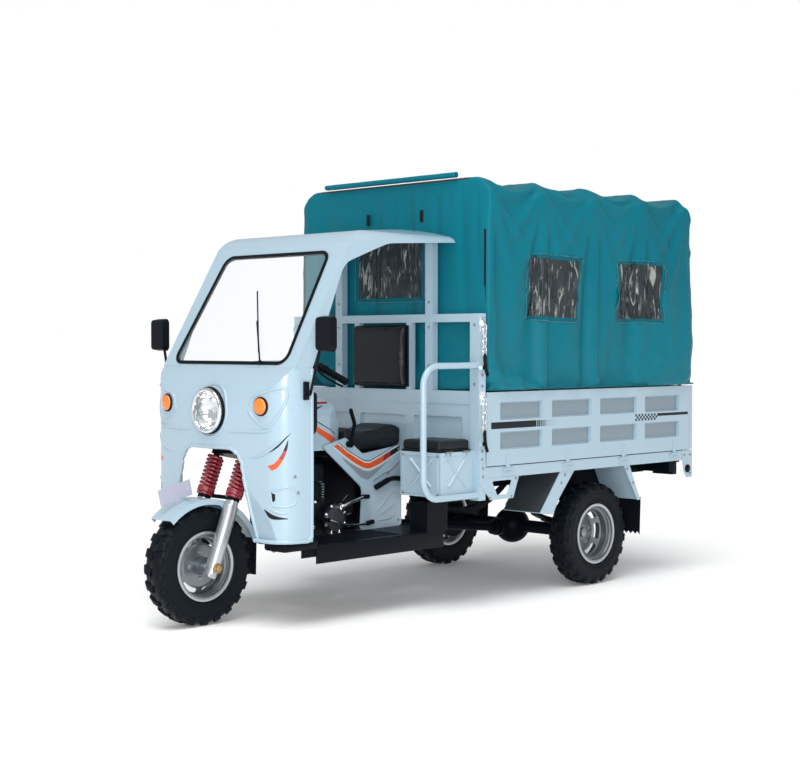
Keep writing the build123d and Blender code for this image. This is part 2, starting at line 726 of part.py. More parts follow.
def headlamp_lens():
    rim_x = NOSE_X + 2
    step_x = NOSE_X + 12 - FIT
    edge = LAMP_Z + LAMP_RADIUS - 10 - FIT
    dome = LAMP_Z + LAMP_RADIUS - 14 - FIT
    front_x = NOSE_X + 30
    reach = dome - LAMP_Z
    ball = (reach**2 + (front_x - step_x) ** 2) / (2 * (front_x - step_x))
    mid_x = front_x - ball + math.sqrt(ball**2 - (reach / 2) ** 2)
    bulge = ThreePointArc((step_x, 0, dome), (mid_x, 0, LAMP_Z + reach / 2), (front_x, 0, LAMP_Z))
    back = [(front_x, 0, LAMP_Z), (rim_x, 0, LAMP_Z), (rim_x, 0, edge), (step_x, 0, edge)]
    rest = Polyline(*back, (step_x, 0, dome))
    face = make_face(bulge.edges() + rest.edges())
    return revolve(face, axis=Axis((0, 0, LAMP_Z), (1, 0, 0)))


TURN_Y = 356
TURN_Z = 1052
TURN_RADIUS = 33
NOSE_BOW = ((CAB_HALF**2) + 40**2) / 80
TURN_TILT = math.degrees(math.asin(TURN_Y / NOSE_BOW))
TURN_X = NOSE_X - 1 - NOSE_BOW * (1 - math.cos(math.radians(TURN_TILT)))


def turn_lamps():
    turn = math.radians(TURN_TILT)
    face = Plane(
        origin=(TURN_X, TURN_Y, TURN_Z),
        x_dir=(-math.sin(turn), math.cos(turn), 0),
        z_dir=(math.cos(turn), math.sin(turn), 0),
    ).location
    body = Pos(0, 0, 2 * FIT) * extrude(Circle(TURN_RADIUS), amount=14, taper=8)
    return Compound(both(face * body))


def mirrors():
    base = 1195
    path = [(base, CAB_HALF + FIT, 1105), (base, CAB_HALF + 32, 1105), (base - 8, CAB_HALF + 98, 1340)]
    arm = pipe(path, 7, 18)
    face = extrude(Plane.YZ * RectangleRounded(112, 166, 26), amount=38, taper=10)
    head = Pos(base - 26, CAB_HALF + 130, 1390) * face
    return Compound(both(arm + head))


def dash_boxes():
    out = CAB_HALF - CAB_WALL - FIT
    profile = [(DASH_REAR, 960), (DASH_REAR, 1110), (1150, 1122), (1198, 1112), (1198, 920), (1130, 920)]
    pod = side_plate(profile, 175, out, 18)
    pod -= block(DASH_REAR + 14, 1182, 195, out - 20, 990, 1200)
    return Compound(both(pod))


# Fork and everything that turns with the steering
def fork_yoke():
    shape = None
    for side in (1, -1):
        tube = Pos(0, side * FORK_HALF_WIDTH, (FORK_LEG_TOP + FIT + YOKE_TOP + 20) / 2)
        tube *= Cylinder(FORK_TUBE_RADIUS, YOKE_TOP + 20 - FORK_LEG_TOP - FIT)
        shape = tube if shape is None else shape + tube
    stem_run = YOKE_TOP + 20 - YOKE_LOW
    shape += Pos(-FORK_OFFSET, 0, YOKE_LOW + stem_run / 2) * Cylinder(STEM_RADIUS, stem_run)
    reach = FORK_HALF_WIDTH + 24
    back = -FORK_OFFSET - 26
    clamp = [(-22, -reach), (20, -reach), (26, 0), (20, reach), (-22, reach), (back, 34), (back, -34)]
    shape += plan_plate(clamp, YOKE_LOW, YOKE_LOW + YOKE_THICK, 10)
    shape += plan_plate(clamp, YOKE_TOP, YOKE_TOP + 20, 10)
    return FORK * shape


def fork_legs():
    shape = Rot(90, 0, 0) * Cylinder(FRONT_AXLE_RADIUS, 2 * FORK_HALF_WIDTH + 70)
    for side in (1, -1):
        y = side * FORK_HALF_WIDTH
        leg_run = FORK_LEG_TOP + 34
        shape += Pos(0, y, leg_run / 2 - 34) * Cylinder(FORK_LEG_RADIUS, leg_run)
        shape += rod((0, side * (FRONT_HUB_HALF + 2), 0), (0, y, 0), 17)
    return FORK * shape


def fork_springs():
    low = FORK_LEG_TOP + 6
    high = YOKE_LOW - FIT
    pitch = (high - low) / SPRING_TURNS
    inner = FORK_TUBE_RADIUS + FIT
    points = [(inner, low)]
    for i in range(SPRING_TURNS):
        points += [(SPRING_RADIUS - 8, low + pitch * i), (SPRING_RADIUS, low + pitch * (i + 0.5))]
    points += [(SPRING_RADIUS - 8, high), (inner, high)]
    face = outline([(r, 0, z) for r, z in points])
    coil = revolve(face, axis=Axis.Z)
    coil += Pos(0, 0, low - 3) * (Cylinder(SPRING_RADIUS, 6 - 2 * FIT) - Cylinder(inner, 20))
    coil = Pos(0, FORK_HALF_WIDTH, 0) * coil
    return FORK * Compound(both(coil))


FENDER_START = 47
FENDER_END = 160
FENDER_IN = TYRE_RADIUS + FENDER_GAP
FLAP_RUN = 190


def fender_point(radius, angle, y):
    turn = math.radians(angle)
    return (radius * math.cos(turn), y, radius * math.sin(turn))


def fender_strip(inner, outer, y0, y1, start, end):
    middle = (start + end) / 2
    low = ThreePointArc(*[fender_point(inner, a, y0) for a in (start, middle, end)])
    high = ThreePointArc(*[fender_point(outer, a, y0) for a in (end, middle, start)])
    sides = [Line(low @ 1, high @ 0), Line(high @ 1, low @ 0)]
    return extrude(make_face([low, high] + sides), amount=y1 - y0, dir=(0, 1, 0))


def front_fender():
    outer = FENDER_IN + FENDER_THICK
    shape = fender_strip(FENDER_IN, outer, -FENDER_HALF_WIDTH, FENDER_HALF_WIDTH, FENDER_START, FENDER_END)
    side = FENDER_HALF_WIDTH
    lip = fender_strip(FENDER_IN - 24, outer, side - 3, side, FENDER_START, FENDER_END)
    shape += lip
    shape += right_of(lip)
    stay_in = FENDER_HALF_WIDTH - 3
    stay_out = FORK_HALF_WIDTH - FORK_LEG_RADIUS - FIT
    stay = fender_strip(FENDER_IN - 30, outer - 10, stay_in, stay_out, 106, 117)
    shape += stay
    shape += right_of(stay)
    return at_front(shape)


FENDER_TAIL = fender_point(FENDER_IN + FENDER_THICK, FENDER_END, 0)
FLAP_X = FRONT_AXLE_X + FENDER_TAIL[0] - FIT - 4
FLAP_TOP = TYRE_RADIUS + FENDER_TAIL[2]


def front_flap():
    half = FENDER_HALF_WIDTH - 8
    x = FLAP_X
    top = FLAP_TOP + 8
    low = top - FLAP_RUN
    return front_plate([(-half, top), (half, top), (half - 6, low), (-half + 6, low)], x, x + 4, 6)


PLATE_HOLES = 150
PLATE_HOLE_RADIUS = 3.5


def front_plate_blank():
    reach = 190
    height = 76
    tilt = 13
    turn = 68
    radius = FENDER_IN + FENDER_THICK
    x, y, z = fender_point(radius + FIT, turn, 0)
    place = Pos(FRONT_AXLE_X + x, 0, TYRE_RADIUS + z)
    board = Box(reach, 3, height)
    for x in (-PLATE_HOLES / 2, PLATE_HOLES / 2):
        board -= Pos(x, 0, 0) * Rot(90, 0, 0) * Cylinder(PLATE_HOLE_RADIUS, 10)
    plate = place * Rot(0, tilt, 0) * Pos(0, 0, height / 2 + 22) * board
    stalk = place * Pos(0, 0, 16) * Box(16, 6, 60)
    ring = at_front(Rot(90, 0, 0) * Cylinder(radius + FIT, 40))
    return plate + stalk - ring


# Bars: a low clamp on the yoke, then a rise back to the grips
BAR_CLAMP_W = YOKE_TOP + 90
BAR_PATH = (
    # X back from the clamp, Y, Z above the clamp
    (0, 66, 0),
    (-150, 150, 130),
    (-214, 236, 176),
    (-252, 405, 96),
)


def handlebar():
    cx, cy, cz = fork_point(-FORK_OFFSET, 0, BAR_CLAMP_W)
    left = [(cx + x, y, cz + z) for x, y, z in BAR_PATH]
    path = [(x, -y, z) for x, y, z in reversed(left)] + left
    shape = pipe(path, BAR_RADIUS, 35)
    for side in (1, -1):
        foot = fork_point(-FORK_OFFSET, side * 36, YOKE_TOP + 20 + FIT)
        shape += rod(foot, fork_point(-FORK_OFFSET, side * 36, BAR_CLAMP_W), 13)
        x, y, z = left[-1]
        x1, y1, z1 = left[-2]
        share = 0.72
        rest = 1 - share
        start = (x1 + (x - x1) * rest, side * (y1 + (y - y1) * rest), z1 + (z - z1) * rest)
        shape += rod(start, (x, side * y, z), GRIP_RADIUS)
    return shape


# Load bed, with a sill under the front wall and a boss under each foot of a hoop
BOW_FRONT = CANOPY_FRONT - CANOPY_WALL - 1 - BOW_RADIUS
BOW_REAR = SIDE_GATE_REAR + 30
BOW_X = [BOW_FRONT - (BOW_FRONT - BOW_REAR) * i / (BOW_COUNT - 1) for i in range(BOW_COUNT)]
BOSS_RIM = 5
BED_CROSS_COUNT = 5
TAIL_PLATE_LOW = 557


def cargo_bed():
    rear = TAIL_FACE_X + 3
    inner = BED_RAIL_OUT - BED_RAIL_WIDTH
    shape = block(rear, POST_REAR_X - FIT, -inner - 5, inner + 5, FLOOR_TOP - FLOOR_THICK, FLOOR_TOP)
    sill_half = POST_IN - FIT
    shape += block(
        POST_REAR_X - 5, POST_FRONT_X - 4, -sill_half, sill_half, FLOOR_TOP - FLOOR_THICK, SILL_TOP
    )
    for x in BOW_X:
        boss = rod((x, BOW_HALF, FLOOR_TOP - 1), (x, BOW_HALF, SILL_TOP), BOW_RADIUS + BOSS_RIM)
        shape += boss
        shape += right_of(boss)
    rail = block(rear, POST_REAR_X - FIT, inner, BED_RAIL_OUT, BED_LOW, FLOOR_TOP)
    under = FLOOR_TOP - FLOOR_THICK
    rail -= block(rear + 50, POST_REAR_X - 50, inner - 1, BED_RAIL_OUT - 5, BED_LOW + 5, under)
    shape += rail
    shape += right_of(rail)
    run = POST_REAR_X - rear - 50
    for i in range(BED_CROSS_COUNT):
        x = rear + 20 + run * i / (BED_CROSS_COUNT - 1)
        shape += block(x - 20, x + 20, -inner - 3, inner + 3, BED_LOW, FLOOR_TOP - 2)
    return shape


def front_wall():
    x0 = POST_REAR_X + 4
    x1 = x0 + WALL_THICK
    half = POST_IN - FIT
    low = SILL_TOP + FIT
    shape = block(x0, x1, -half, half, low, WALL_TOP)
    shape += block(x0 - 4, x1 + 4, -half, half, WALL_TOP - 67, WALL_TOP)
    columns = 3
    gap = 60
    width = (2 * half - gap * (columns + 1)) / columns
    for i in range(columns):
        y = -half + gap + width / 2 + i * (width + gap)
        pocket = Plane.YZ * RectangleRounded(width, 200, 12)
        shape -= Pos(x1 - PRESS_DEPTH, y, low + 150) * extrude(pocket, amount=30)
    return shape


def headboard_frame():
    x0 = POST_REAR_X
    x1 = POST_REAR_X + 40
    shape = block(x0, x1, -POST_OUT, POST_OUT, BAR_TOP - BAR_HEIGHT, BAR_TOP)
    post = block(x0, POST_FRONT_X, POST_IN, POST_OUT, POST_LOW, BAR_TOP)
    cab_post_top = cab_post_height()
    post_in = CAB_POST_HALF - CAB_POST_WIDTH / 2
    post_out = CAB_POST_HALF + CAB_POST_WIDTH / 2
    post += block(x0, x1, post_in, post_out, WALL_TOP + FIT, cab_post_top)
    post += block(x0 + 10, x1, 176, 214, WALL_TOP + FIT, BAR_TOP)
    shape += post
    shape += right_of(post)
    return shape


def cab_post_height():
    """Underside of the crowned roof above the outer edge of a cab post."""
    sag = 52
    radius = (430**2 + sag**2) / (2 * sag)
    edge = CAB_POST_HALF + CAB_POST_WIDTH / 2
    return ROOF_TOP - CAB_WALL - radius + math.sqrt(radius**2 - edge**2) - FIT


def backrest():
    x0 = POST_REAR_X + 40 + FIT
    pad = extrude(Plane.YZ * RectangleRounded(410, 336, 30), amount=48, taper=6)
    return Pos(x0, 0, (WALL_TOP + BAR_TOP - BAR_HEIGHT) / 2) * pad


# Gates: built along X with the outer face at Y = 0, then placed on each side
def gate(length, hinges, columns):
    height = GATE_TOP - GATE_LOW
    shape = block(-length / 2, length / 2, -GATE_THICK, 0, GATE_LOW, GATE_TOP)
    upper = GATE_LOW + height * 0.74
    lower = GATE_LOW + height * 0.335
    pitch = (length - 130) / columns
    panel = RectangleRounded(pitch - PRESS_RIB, PRESS_WIDTH, 10)
    press = extrude(Plane.XZ * panel, amount=PRESS_DEPTH + 1, taper=12)
    press = Rot(0, 0, 180) * press
    for i in range(columns):
        x = -length / 2 + 65 + pitch * (i + 0.5)
        for z in (upper, lower):
            shape -= Pos(x, 0, z) * Pos(0, 1, 0) * Rot(0, 0, 180) * press
    for x in hinges:
        strap = block(x - KNUCKLE_HALF, x + KNUCKLE_HALF, -1, 4, HINGE_Z, GATE_LOW + 52)
        start = (x - KNUCKLE_HALF, HINGE_OUT, HINGE_Z)
        strap += rod(start, (x + KNUCKLE_HALF, HINGE_OUT, HINGE_Z), HINGE_RADIUS)
        shape += strap
        shape -= rod((x - 40, HINGE_OUT, HINGE_Z), (x + 40, HINGE_OUT, HINGE_Z), PIN_RADIUS + HINGE_PLAY)
    return shape


def fixed_hinges(hinges):
    leaves = []
    for x in hinges:
        leaf = block(x - LEAF_HALF, x + LEAF_HALF, -3 + FIT, 2, HINGE_Z - 38, HINGE_Z - 9)
        leaf += rod((x - LEAF_HALF, HINGE_OUT, HINGE_Z), (x + LEAF_HALF, HINGE_OUT, HINGE_Z), PIN_RADIUS)
        for side in (1, -1):
            inner = x + side * (KNUCKLE_HALF + 1)
            outer = x + side * LEAF_HALF
            leaf += rod((inner, HINGE_OUT, HINGE_Z), (outer, HINGE_OUT, HINGE_Z), HINGE_RADIUS)
            leaf += block(min(inner, outer), max(inner, outer), -3 + FIT, 5, HINGE_Z - 12, HINGE_Z - 1)
        leaves.append(leaf)
    return leaves


SIDE_GATE_LENGTH = BED_FRONT_X - SIDE_GATE_REAR
SIDE_GATE_MID = (BED_FRONT_X + SIDE_GATE_REAR) / 2
TAILGATE_LENGTH = 2 * (BED_HALF - 3)
SIDE_HINGES = [SIDE_GATE_LENGTH * share for share in (0.41, 0.137, -0.141, -0.415)]
TAIL_HINGES = [TAILGATE_LENGTH * share for share in (-0.36, 0, 0.36)]
LEFT_SIDE = Plane(origin=(SIDE_GATE_MID, BED_HALF, 0), x_dir=(1, 0, 0), z_dir=(0, 0, 1)).location
TAIL_SIDE = Plane(origin=(TAIL_FACE_X, 0, 0), x_dir=(0, 1, 0), z_dir=(0, 0, 1)).location


def bed_hinges():
    left = [LEFT_SIDE * leaf for leaf in fixed_hinges(SIDE_HINGES)]
    tail = [TAIL_SIDE * leaf for leaf in fixed_hinges(TAIL_HINGES)]
    return Compound(left + [right_of(leaf) for leaf in left] + tail)


# Canopy on its hoops
WINDOW_X = (-402, -1160)


def canopy_bows():
    foot = SILL_TOP + FIT
    bend = CANOPY_CORNER - 12
    low = BOW_TOP - bend - BOW_SPIGOT
    side = BOW_HALF - bend - BOW_SPIGOT
    bars = []
    for x in BOW_X:
        corner = pipe([(x, BOW_HALF, low), (x, BOW_HALF, BOW_TOP), (x, side, BOW_TOP)], BOW_RADIUS, bend)
        bars += both(corner)
        bars += both(rod((x, BOW_HALF, foot), (x, BOW_HALF, low - FIT), BOW_RADIUS))
        bars.append(rod((x, FIT - side, BOW_TOP), (x, side - FIT, BOW_TOP), BOW_RADIUS))
    reach = BOW_RADIUS + FIT
    purlin_z = CANOPY_TOP - PURLIN_DROP
    for front, rear in zip(BOW_X, BOW_X[1:]):
        start = (rear + reach, BOW_HALF, purlin_z)
        bars += both(rod(start, (front - reach, BOW_HALF, purlin_z), PURLIN_RADIUS))
    return Compound(bars)


def canopy():
    def hood(inset):
        half = CANOPY_HALF - inset
        low = CANOPY_LOW - inset
        top = CANOPY_TOP - inset
        corner = CANOPY_CORNER - inset
        profile = [(-half, low), (-half, top), (half, top), (half, low)]
        tunnel = front_plate(profile, CANOPY_REAR + inset, CANOPY_FRONT - inset, [0.5, corner, corner, 0.5])
        dips = [(CANOPY_FRONT + 1, low - 1), (CANOPY_FRONT + 1, top), (BOW_X[0], top)]
        for front, rear in zip(BOW_X, BOW_X[1:]):
            dips += [((front + rear) / 2, top - CANOPY_SAG), (rear, top)]
        dips += [(CANOPY_REAR - 1, top), (CANOPY_REAR - 1, low - 1)]
        return tunnel & side_plate(dips, -half - 1, half + 1)

    shape = hood(0) - hood(CANOPY_WALL)
    for cut in canopy_cuts(0) + canopy_seams():
        shape -= cut
    return Compound(shape.solids())


def canopy_seams():
    """Thin slits where the top, the shoulders, the sides and the ends of the canopy are sewn together."""
    out = CANOPY_HALF + 5
    wall = CANOPY_HALF - CANOPY_WALL - 5
    fold_y = CANOPY_HALF - CANOPY_CORNER
    fold_z = CANOPY_TOP - CANOPY_CORNER
    front = CANOPY_FRONT - CANOPY_WALL
    rear = CANOPY_REAR + CANOPY_WALL
    slits = [block(x, x + FIT, -out, out, CANOPY_LOW - 5, CANOPY_TOP + 5) for x in (front - FIT, rear)]
    slits += both(block(rear, front, fold_y - FIT, fold_y, CANOPY_TOP - 2 * CANOPY_SAG, CANOPY_TOP + 5))
    slits += both(block(rear, front, wall, out, fold_z - FIT, fold_z))
    return slits


def canopy_cuts(inset):
    """Window holes in the canopy, or the panes that fill them when drawn in."""
    cuts = []
    wall0 = CANOPY_HALF - CANOPY_WALL
    depth = CANOPY_WALL if inset else CANOPY_WALL + 40
    start = wall0 if inset else wall0 - 20
    mid_z = CANOPY_TOP - WINDOW_DROP - WINDOW_HEIGHT / 2
    for x in WINDOW_X:
        sheet = RectangleRounded(WINDOW_LENGTH - 2 * inset, WINDOW_HEIGHT - 2 * inset, 20)
        pane = Pos(x, start, mid_z) * Rot(-90, 0, 0) * extrude(sheet, amount=depth)
        cuts += both(pane)
    sheet = RectangleRounded(END_WINDOW_LENGTH - 2 * inset, WINDOW_HEIGHT - 2 * inset, 20)
    for x0 in (CANOPY_FRONT - CANOPY_WALL, CANOPY_REAR):
        x = x0 if inset else x0 - 20
        cuts.append(Pos(x, 0, mid_z + END_WINDOW_RISE) * extrude(Plane.YZ * sheet, amount=depth))
    return cuts


def canopy_windows():
    return Compound(canopy_cuts(FIT))


def canopy_roll():
    shift = (ROLL_RADIUS + FIT) / math.sqrt(2)
    x = CANOPY_FRONT + shift
    z = CANOPY_TOP + shift
    return rod((x, -ROLL_HALF, z), (x, ROLL_HALF, z), ROLL_RADIUS)


# Passenger seat boxes with hinged padded lids, and the hoops beside them
LID_AXIS_Y = SEAT_BOX_OUT + 6
LID_AXIS_Z = SEAT_BOX_TOP
LID_HINGES = (SEAT_BOX_REAR + 62, SEAT_BOX_FRONT - 62)


def seat_boxes():
    wall = SEAT_BOX_WALL
    shape = block(SEAT_BOX_REAR, SEAT_BOX_FRONT, SEAT_BOX_IN, SEAT_BOX_OUT, SEAT_BOX_LOW, SEAT_BOX_TOP)
    rear = SEAT_BOX_REAR + wall
    front = SEAT_BOX_FRONT - wall
    low = SEAT_BOX_LOW + wall
    shape -= block(rear, front, SEAT_BOX_IN + wall, SEAT_BOX_OUT - wall, low, SEAT_BOX_TOP + 5)
    for x in LID_HINGES:
        shape += rod((x - 20, LID_AXIS_Y, LID_AXIS_Z), (x + 20, LID_AXIS_Y, LID_AXIS_Z), 2)
        for side in (1, -1):
            inner = x + side * 10
            outer = x + side * 20
            shape += rod((inner, LID_AXIS_Y, LID_AXIS_Z), (outer, LID_AXIS_Y, LID_AXIS_Z), 5)
            low_x = min(inner, outer)
            high_x = max(inner, outer)
            leaf_y = SEAT_BOX_OUT - 1
            shape += block(low_x, high_x, leaf_y, LID_AXIS_Y + 3, LID_AXIS_Z - 20, LID_AXIS_Z - 2)
    return Compound(both(shape))


def seat_lid():
    low = SEAT_BOX_TOP + 1
    rear = SEAT_BOX_REAR + SWING_GAP
    shape = block(rear, SEAT_BOX_FRONT, SEAT_BOX_IN, SEAT_BOX_OUT, low, low + CUSHION_THICK)
    shape = fillet(shape.edges().group_by(Axis.Z)[-1], radius=14)
    for x in LID_HINGES:
        shape += block(x - 9, x + 9, SEAT_BOX_OUT - 1, LID_AXIS_Y, low + 4, low + 9)
        shape += block(x - 9, x + 9, LID_AXIS_Y - 3, LID_AXIS_Y + 2, LID_AXIS_Z, low + 9)
        shape += rod((x - 9, LID_AXIS_Y, LID_AXIS_Z), (x + 9, LID_AXIS_Y, LID_AXIS_Z), 5)
        shape -= rod((x - 30, LID_AXIS_Y, LID_AXIS_Z), (x + 30, LID_AXIS_Y, LID_AXIS_Z), 2 + FIT)
    return shape


def guard_rails():
    x0 = POST_FRONT_X + FIT
    x1 = x0 + GUARD_REACH
    y = POST_OUT - GUARD_RADIUS
    low = SEAT_BOX_LOW
    path = [(x0, y, GUARD_TOP), (x1, y, GUARD_TOP), (x1, y, low), (x0, y, low)]
    hoop = pipe(path, GUARD_RADIUS, GUARD_BEND)
    return Compound(both(hoop))


# Plates, guards and lamps under the bed
def side_brackets():
    y0 = POST_OUT + FIT
    y1 = y0 + 3
    top = FLOOR_TOP - 1
    profile = [
        (POST_FRONT_X, top + 24),
        (POST_REAR_X, top + 24),
        (POST_REAR_X, HINGE_Z - 40),
        (POST_REAR_X - 260, HINGE_Z - 40),
        (POST_REAR_X - 214, 549),
        (POST_REAR_X - 38, 549),
        (POST_FRONT_X, 640),
    ]
    hole = [(POST_REAR_X - x, z) for x, z in ((46, 645), (88, 572), (164, 572), (204, 645))]
    front = side_plate(profile, y0, y1) - side_plate(hole, y0 - 5, y1 + 5, 8)
    rear_x = TAIL_FACE_X + 4
    profile = [(rear_x, top), (rear_x + 110, top), (rear_x + 88, 600)]
    profile += [(rear_x + 60, TAIL_PLATE_LOW), (rear_x, TAIL_PLATE_LOW)]
    tail = side_plate(profile, y0, y1, 4)
    return Compound(both(front) + both(tail))


MUD_OUT = BED_RAIL_OUT - 3
MUD_INSET = 115
MUD_IN = WHEEL_Y - MUD_INSET
FLAP_LOW = 258
FLAP_TEETH = 7
MUD_TOP = BED_LOW - FIT


def rear_mudguards():
    slope = [(-462, MUD_TOP), (-290, 450), (-294, 448), (-466, MUD_TOP)]
    front = side_plate(slope, MUD_IN, MUD_OUT)
    skirt = [(-462, MUD_TOP), (-580, MUD_TOP), (-452, 520), (-400, 436), (-290, 450)]
    front += side_plate(skirt, MUD_OUT - 3, MUD_OUT)
    slope = [(-1076, MUD_TOP), (-1188, 458), (-1192, 458), (-1080, MUD_TOP)]
    rear = side_plate(slope, MUD_IN, MUD_OUT)
    skirt = [(-1030, MUD_TOP), (-1086, MUD_TOP), (-1190, 458), (-1162, 458)]
    rear += side_plate(skirt, MUD_OUT - 3, MUD_OUT)
    return Compound(both(front) + both(rear))


def mud_flaps():
    inner = MUD_IN + 26
    tooth = (MUD_OUT - 12 - inner) / FLAP_TEETH
    points = [(MUD_IN + 20, 470), (MUD_OUT - 6, 470)]
    for i in range(FLAP_TEETH):
        y = MUD_OUT - 12 - tooth * i
        points += [(y, FLAP_LOW), (y - tooth / 2, FLAP_LOW + 16)]
    flap = front_plate(points + [(inner, FLAP_LOW)], -1203, -1199)
    flap += block(-1203, -1192 - FIT, MUD_IN + 60, MUD_OUT - 60, 459, 466)
    arch = [(-466, MUD_TOP), (-1076, MUD_TOP), (-1180, 476), (-310, 476)]
    liner = side_plate(arch, MUD_IN - FIT - 4, MUD_IN - FIT)
    return Compound(both(flap) + both(liner))


def battery_box():
    x0 = POST_FRONT_X + 15
    shape = block(x0, x0 + 150, 368, 500, FOOTBOARD_TOP + FIT, SEAT_BOX_LOW - 36)
    return Compound(both(fillet(shape.edges().filter_by(Axis.Z), radius=10)))


TAIL_LAMP_INSET = 90


def tail_lamps():
    rear = TAIL_FACE_X + 3
    out = BED_WIDTH / 2 - TAIL_LAMP_INSET
    mount = block(rear, rear + 40, out - 180, out, 640, BED_LOW - FIT)
    lamp = block(rear, rear + 45, out - 160, out - 20, 566, 641)
    return Compound(both(mount + lamp))


LATCH_X = (POST_REAR_X + POST_FRONT_X) / 2
LATCHES = (
    # low Z, high Z
    (1215, 1478),
    (830, 1104),
)


def corner_latches():
    pieces = []
    y = POST_OUT + FIT
    for low, high in LATCHES:
        base = block(LATCH_X - 14, LATCH_X + 14, y, y + 3, high - 70, high)
        base += rod((LATCH_X, y + 8, low), (LATCH_X, y + 8, high - 10), 5)
        base += block(LATCH_X - 9, LATCH_X + 9, y, y + 12, high - 40, high - 20)
        base += block(LATCH_X - 12, LATCH_X + 12, y, y + 12, low, low + 18)
        pieces += both(base)
    return Compound(pieces)


LEVER_X = 592
LEVER_Z = 832


def brake_lever():
    face = PANEL_IN + PANEL_THICK + FIT
    pivot = rod((LEVER_X, face, LEVER_Z), (LEVER_X, face + 24, LEVER_Z), 17)
    path = [(LEVER_X, face + 14, LEVER_Z), (LEVER_X + 4, face + 52, LEVER_Z + 105), (LEVER_X + 56, 232, 1012)]
    return pivot + pipe(path, 10, 60)


NODES = {
    "frame": frame(),
    "rear_axle": rear_axle(),
    "leaf_springs": leaf_springs(),
    "driveshaft": driveshaft(),
    "engine": engine(),
    "exhaust": exhaust(),
    "fuel_tank": fuel_tank(),
    "saddle": saddle(),
    "side_panels": side_panels(),
    "footboard": footboard(),
    "fairing": fairing(),
    "cab_shell": cab_shell(),
    "windscreen_seal": windscreen_seal(),
    "windscreen": windscreen(),
    "wiper": wiper(),
    "headlamp_shell": headlamp_shell(),
    "headlamp_lens": headlamp_lens(),
    "turn_lamps": turn_lamps(),
    "mirrors": mirrors(),
    "dash_boxes": dash_boxes(),
    "fork_yoke": fork_yoke(),
    "fork_legs": fork_legs(),
    "fork_springs": fork_springs(),
    "front_fender": front_fender(),
    "front_flap": front_flap(),
    "front_plate": front_plate_blank(),
    "handlebar": handlebar(),
    "cargo_bed": cargo_bed(),
    "front_wall": front_wall(),
    "headboard_frame": headboard_frame(),
    "backrest": backrest(),
    "bed_hinges": bed_hinges(),
    "canopy_bows": canopy_bows(),
    "canopy": canopy(),
    "canopy_windows": canopy_windows(),
    "canopy_roll": canopy_roll(),
    "seat_boxes": seat_boxes(),
    "guard_rails": guard_rails(),
    "side_brackets": side_brackets(),
    "rear_mudguards": rear_mudguards(),
    "mud_flaps": mud_flaps(),
    "battery_box": battery_box(),
    "tail_lamps": tail_lamps(),
    "corner_latches": corner_latches(),
    "brake_lever": brake_lever(),
    "front_tyre": at_front(tyre()),
    "front_rim": at_front(rim(FRONT_DISC_Y, FRONT_DISH, False)),
    "rear_left_tyre": at_rear(tyre()),
    "rear_left_rim": at_rear(rim(REAR_DISC_Y, REAR_DISH, True)),
    "side_gate_left": LEFT_SIDE * gate(SIDE_GATE_LENGTH, SIDE_HINGES, 4),
    "tailgate": TAIL_SIDE * gate(TAILGATE_LENGTH, TAIL_HINGES, 3),
    "seat_lid_left": seat_lid(),
}
NODES["rear_right_tyre"] = right_of(NODES["rear_left_tyre"])
NODES["rear_right_rim"] = right_of(NODES["rear_left_rim"])
NODES["side_gate_right"] = right_of(NODES["side_gate_left"])
NODES["seat_lid_right"] = right_of(NODES["seat_lid_left"])

for name, shape in NODES.items():
    export_step(shape, f"parts/{name}.step")
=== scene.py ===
import json
import math

import bmesh
import bpy
from bpy.props import FloatProperty, FloatVectorProperty, IntProperty, PointerProperty
from mathutils import Matrix, Vector
from mathutils.bvhtree import BVHTree


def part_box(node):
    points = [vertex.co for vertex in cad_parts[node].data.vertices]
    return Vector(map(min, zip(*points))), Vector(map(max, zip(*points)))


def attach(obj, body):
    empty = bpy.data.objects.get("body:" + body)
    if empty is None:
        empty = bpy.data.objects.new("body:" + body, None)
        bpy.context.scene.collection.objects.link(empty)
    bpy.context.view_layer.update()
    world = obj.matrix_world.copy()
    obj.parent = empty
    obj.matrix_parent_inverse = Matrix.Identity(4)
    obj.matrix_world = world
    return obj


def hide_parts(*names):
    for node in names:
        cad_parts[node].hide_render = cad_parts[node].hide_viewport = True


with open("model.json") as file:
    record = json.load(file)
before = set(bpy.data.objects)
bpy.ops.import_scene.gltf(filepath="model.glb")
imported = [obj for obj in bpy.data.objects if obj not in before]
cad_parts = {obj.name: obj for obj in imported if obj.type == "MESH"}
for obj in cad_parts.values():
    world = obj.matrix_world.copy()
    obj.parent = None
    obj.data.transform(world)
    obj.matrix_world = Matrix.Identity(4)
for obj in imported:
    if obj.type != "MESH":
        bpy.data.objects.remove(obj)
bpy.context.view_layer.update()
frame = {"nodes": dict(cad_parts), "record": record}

bl_info = {
    "name": "Cargo tricycle dress",
    "version": (1, 0, 0),
    "blender": (4, 5, 0),
    "location": "3D View > Sidebar > Tricycle",
    "description": "Dresses the packed motor tricycle with its canopy, pads, tyres, lamps and paint",
    "category": "Object",
}

UP = Vector((0, 0, 1))
MIRROR = Matrix.Scale(-1, 4, Vector((0, 1, 0)))


# Mesh helpers

def mesh_of(name, verts, faces):
    mesh = bpy.data.meshes.new(name)
    mesh.from_pydata([tuple(v) for v in verts], [], faces)
    mesh.update()
    return mesh


def outward(mesh, merge=0.00001):
    bm = bmesh.new()
    bm.from_mesh(mesh)
    bmesh.ops.remove_doubles(bm, verts=bm.verts, dist=merge)
    bmesh.ops.recalc_face_normals(bm, faces=bm.faces)
    bm.to_mesh(mesh)
    bm.free()
    return mesh


def smooth(mesh, angle=35):
    mesh.polygons.foreach_set("use_smooth", [True] * len(mesh.polygons))
    mesh.set_sharp_from_angle(angle=math.radians(angle))
    return mesh


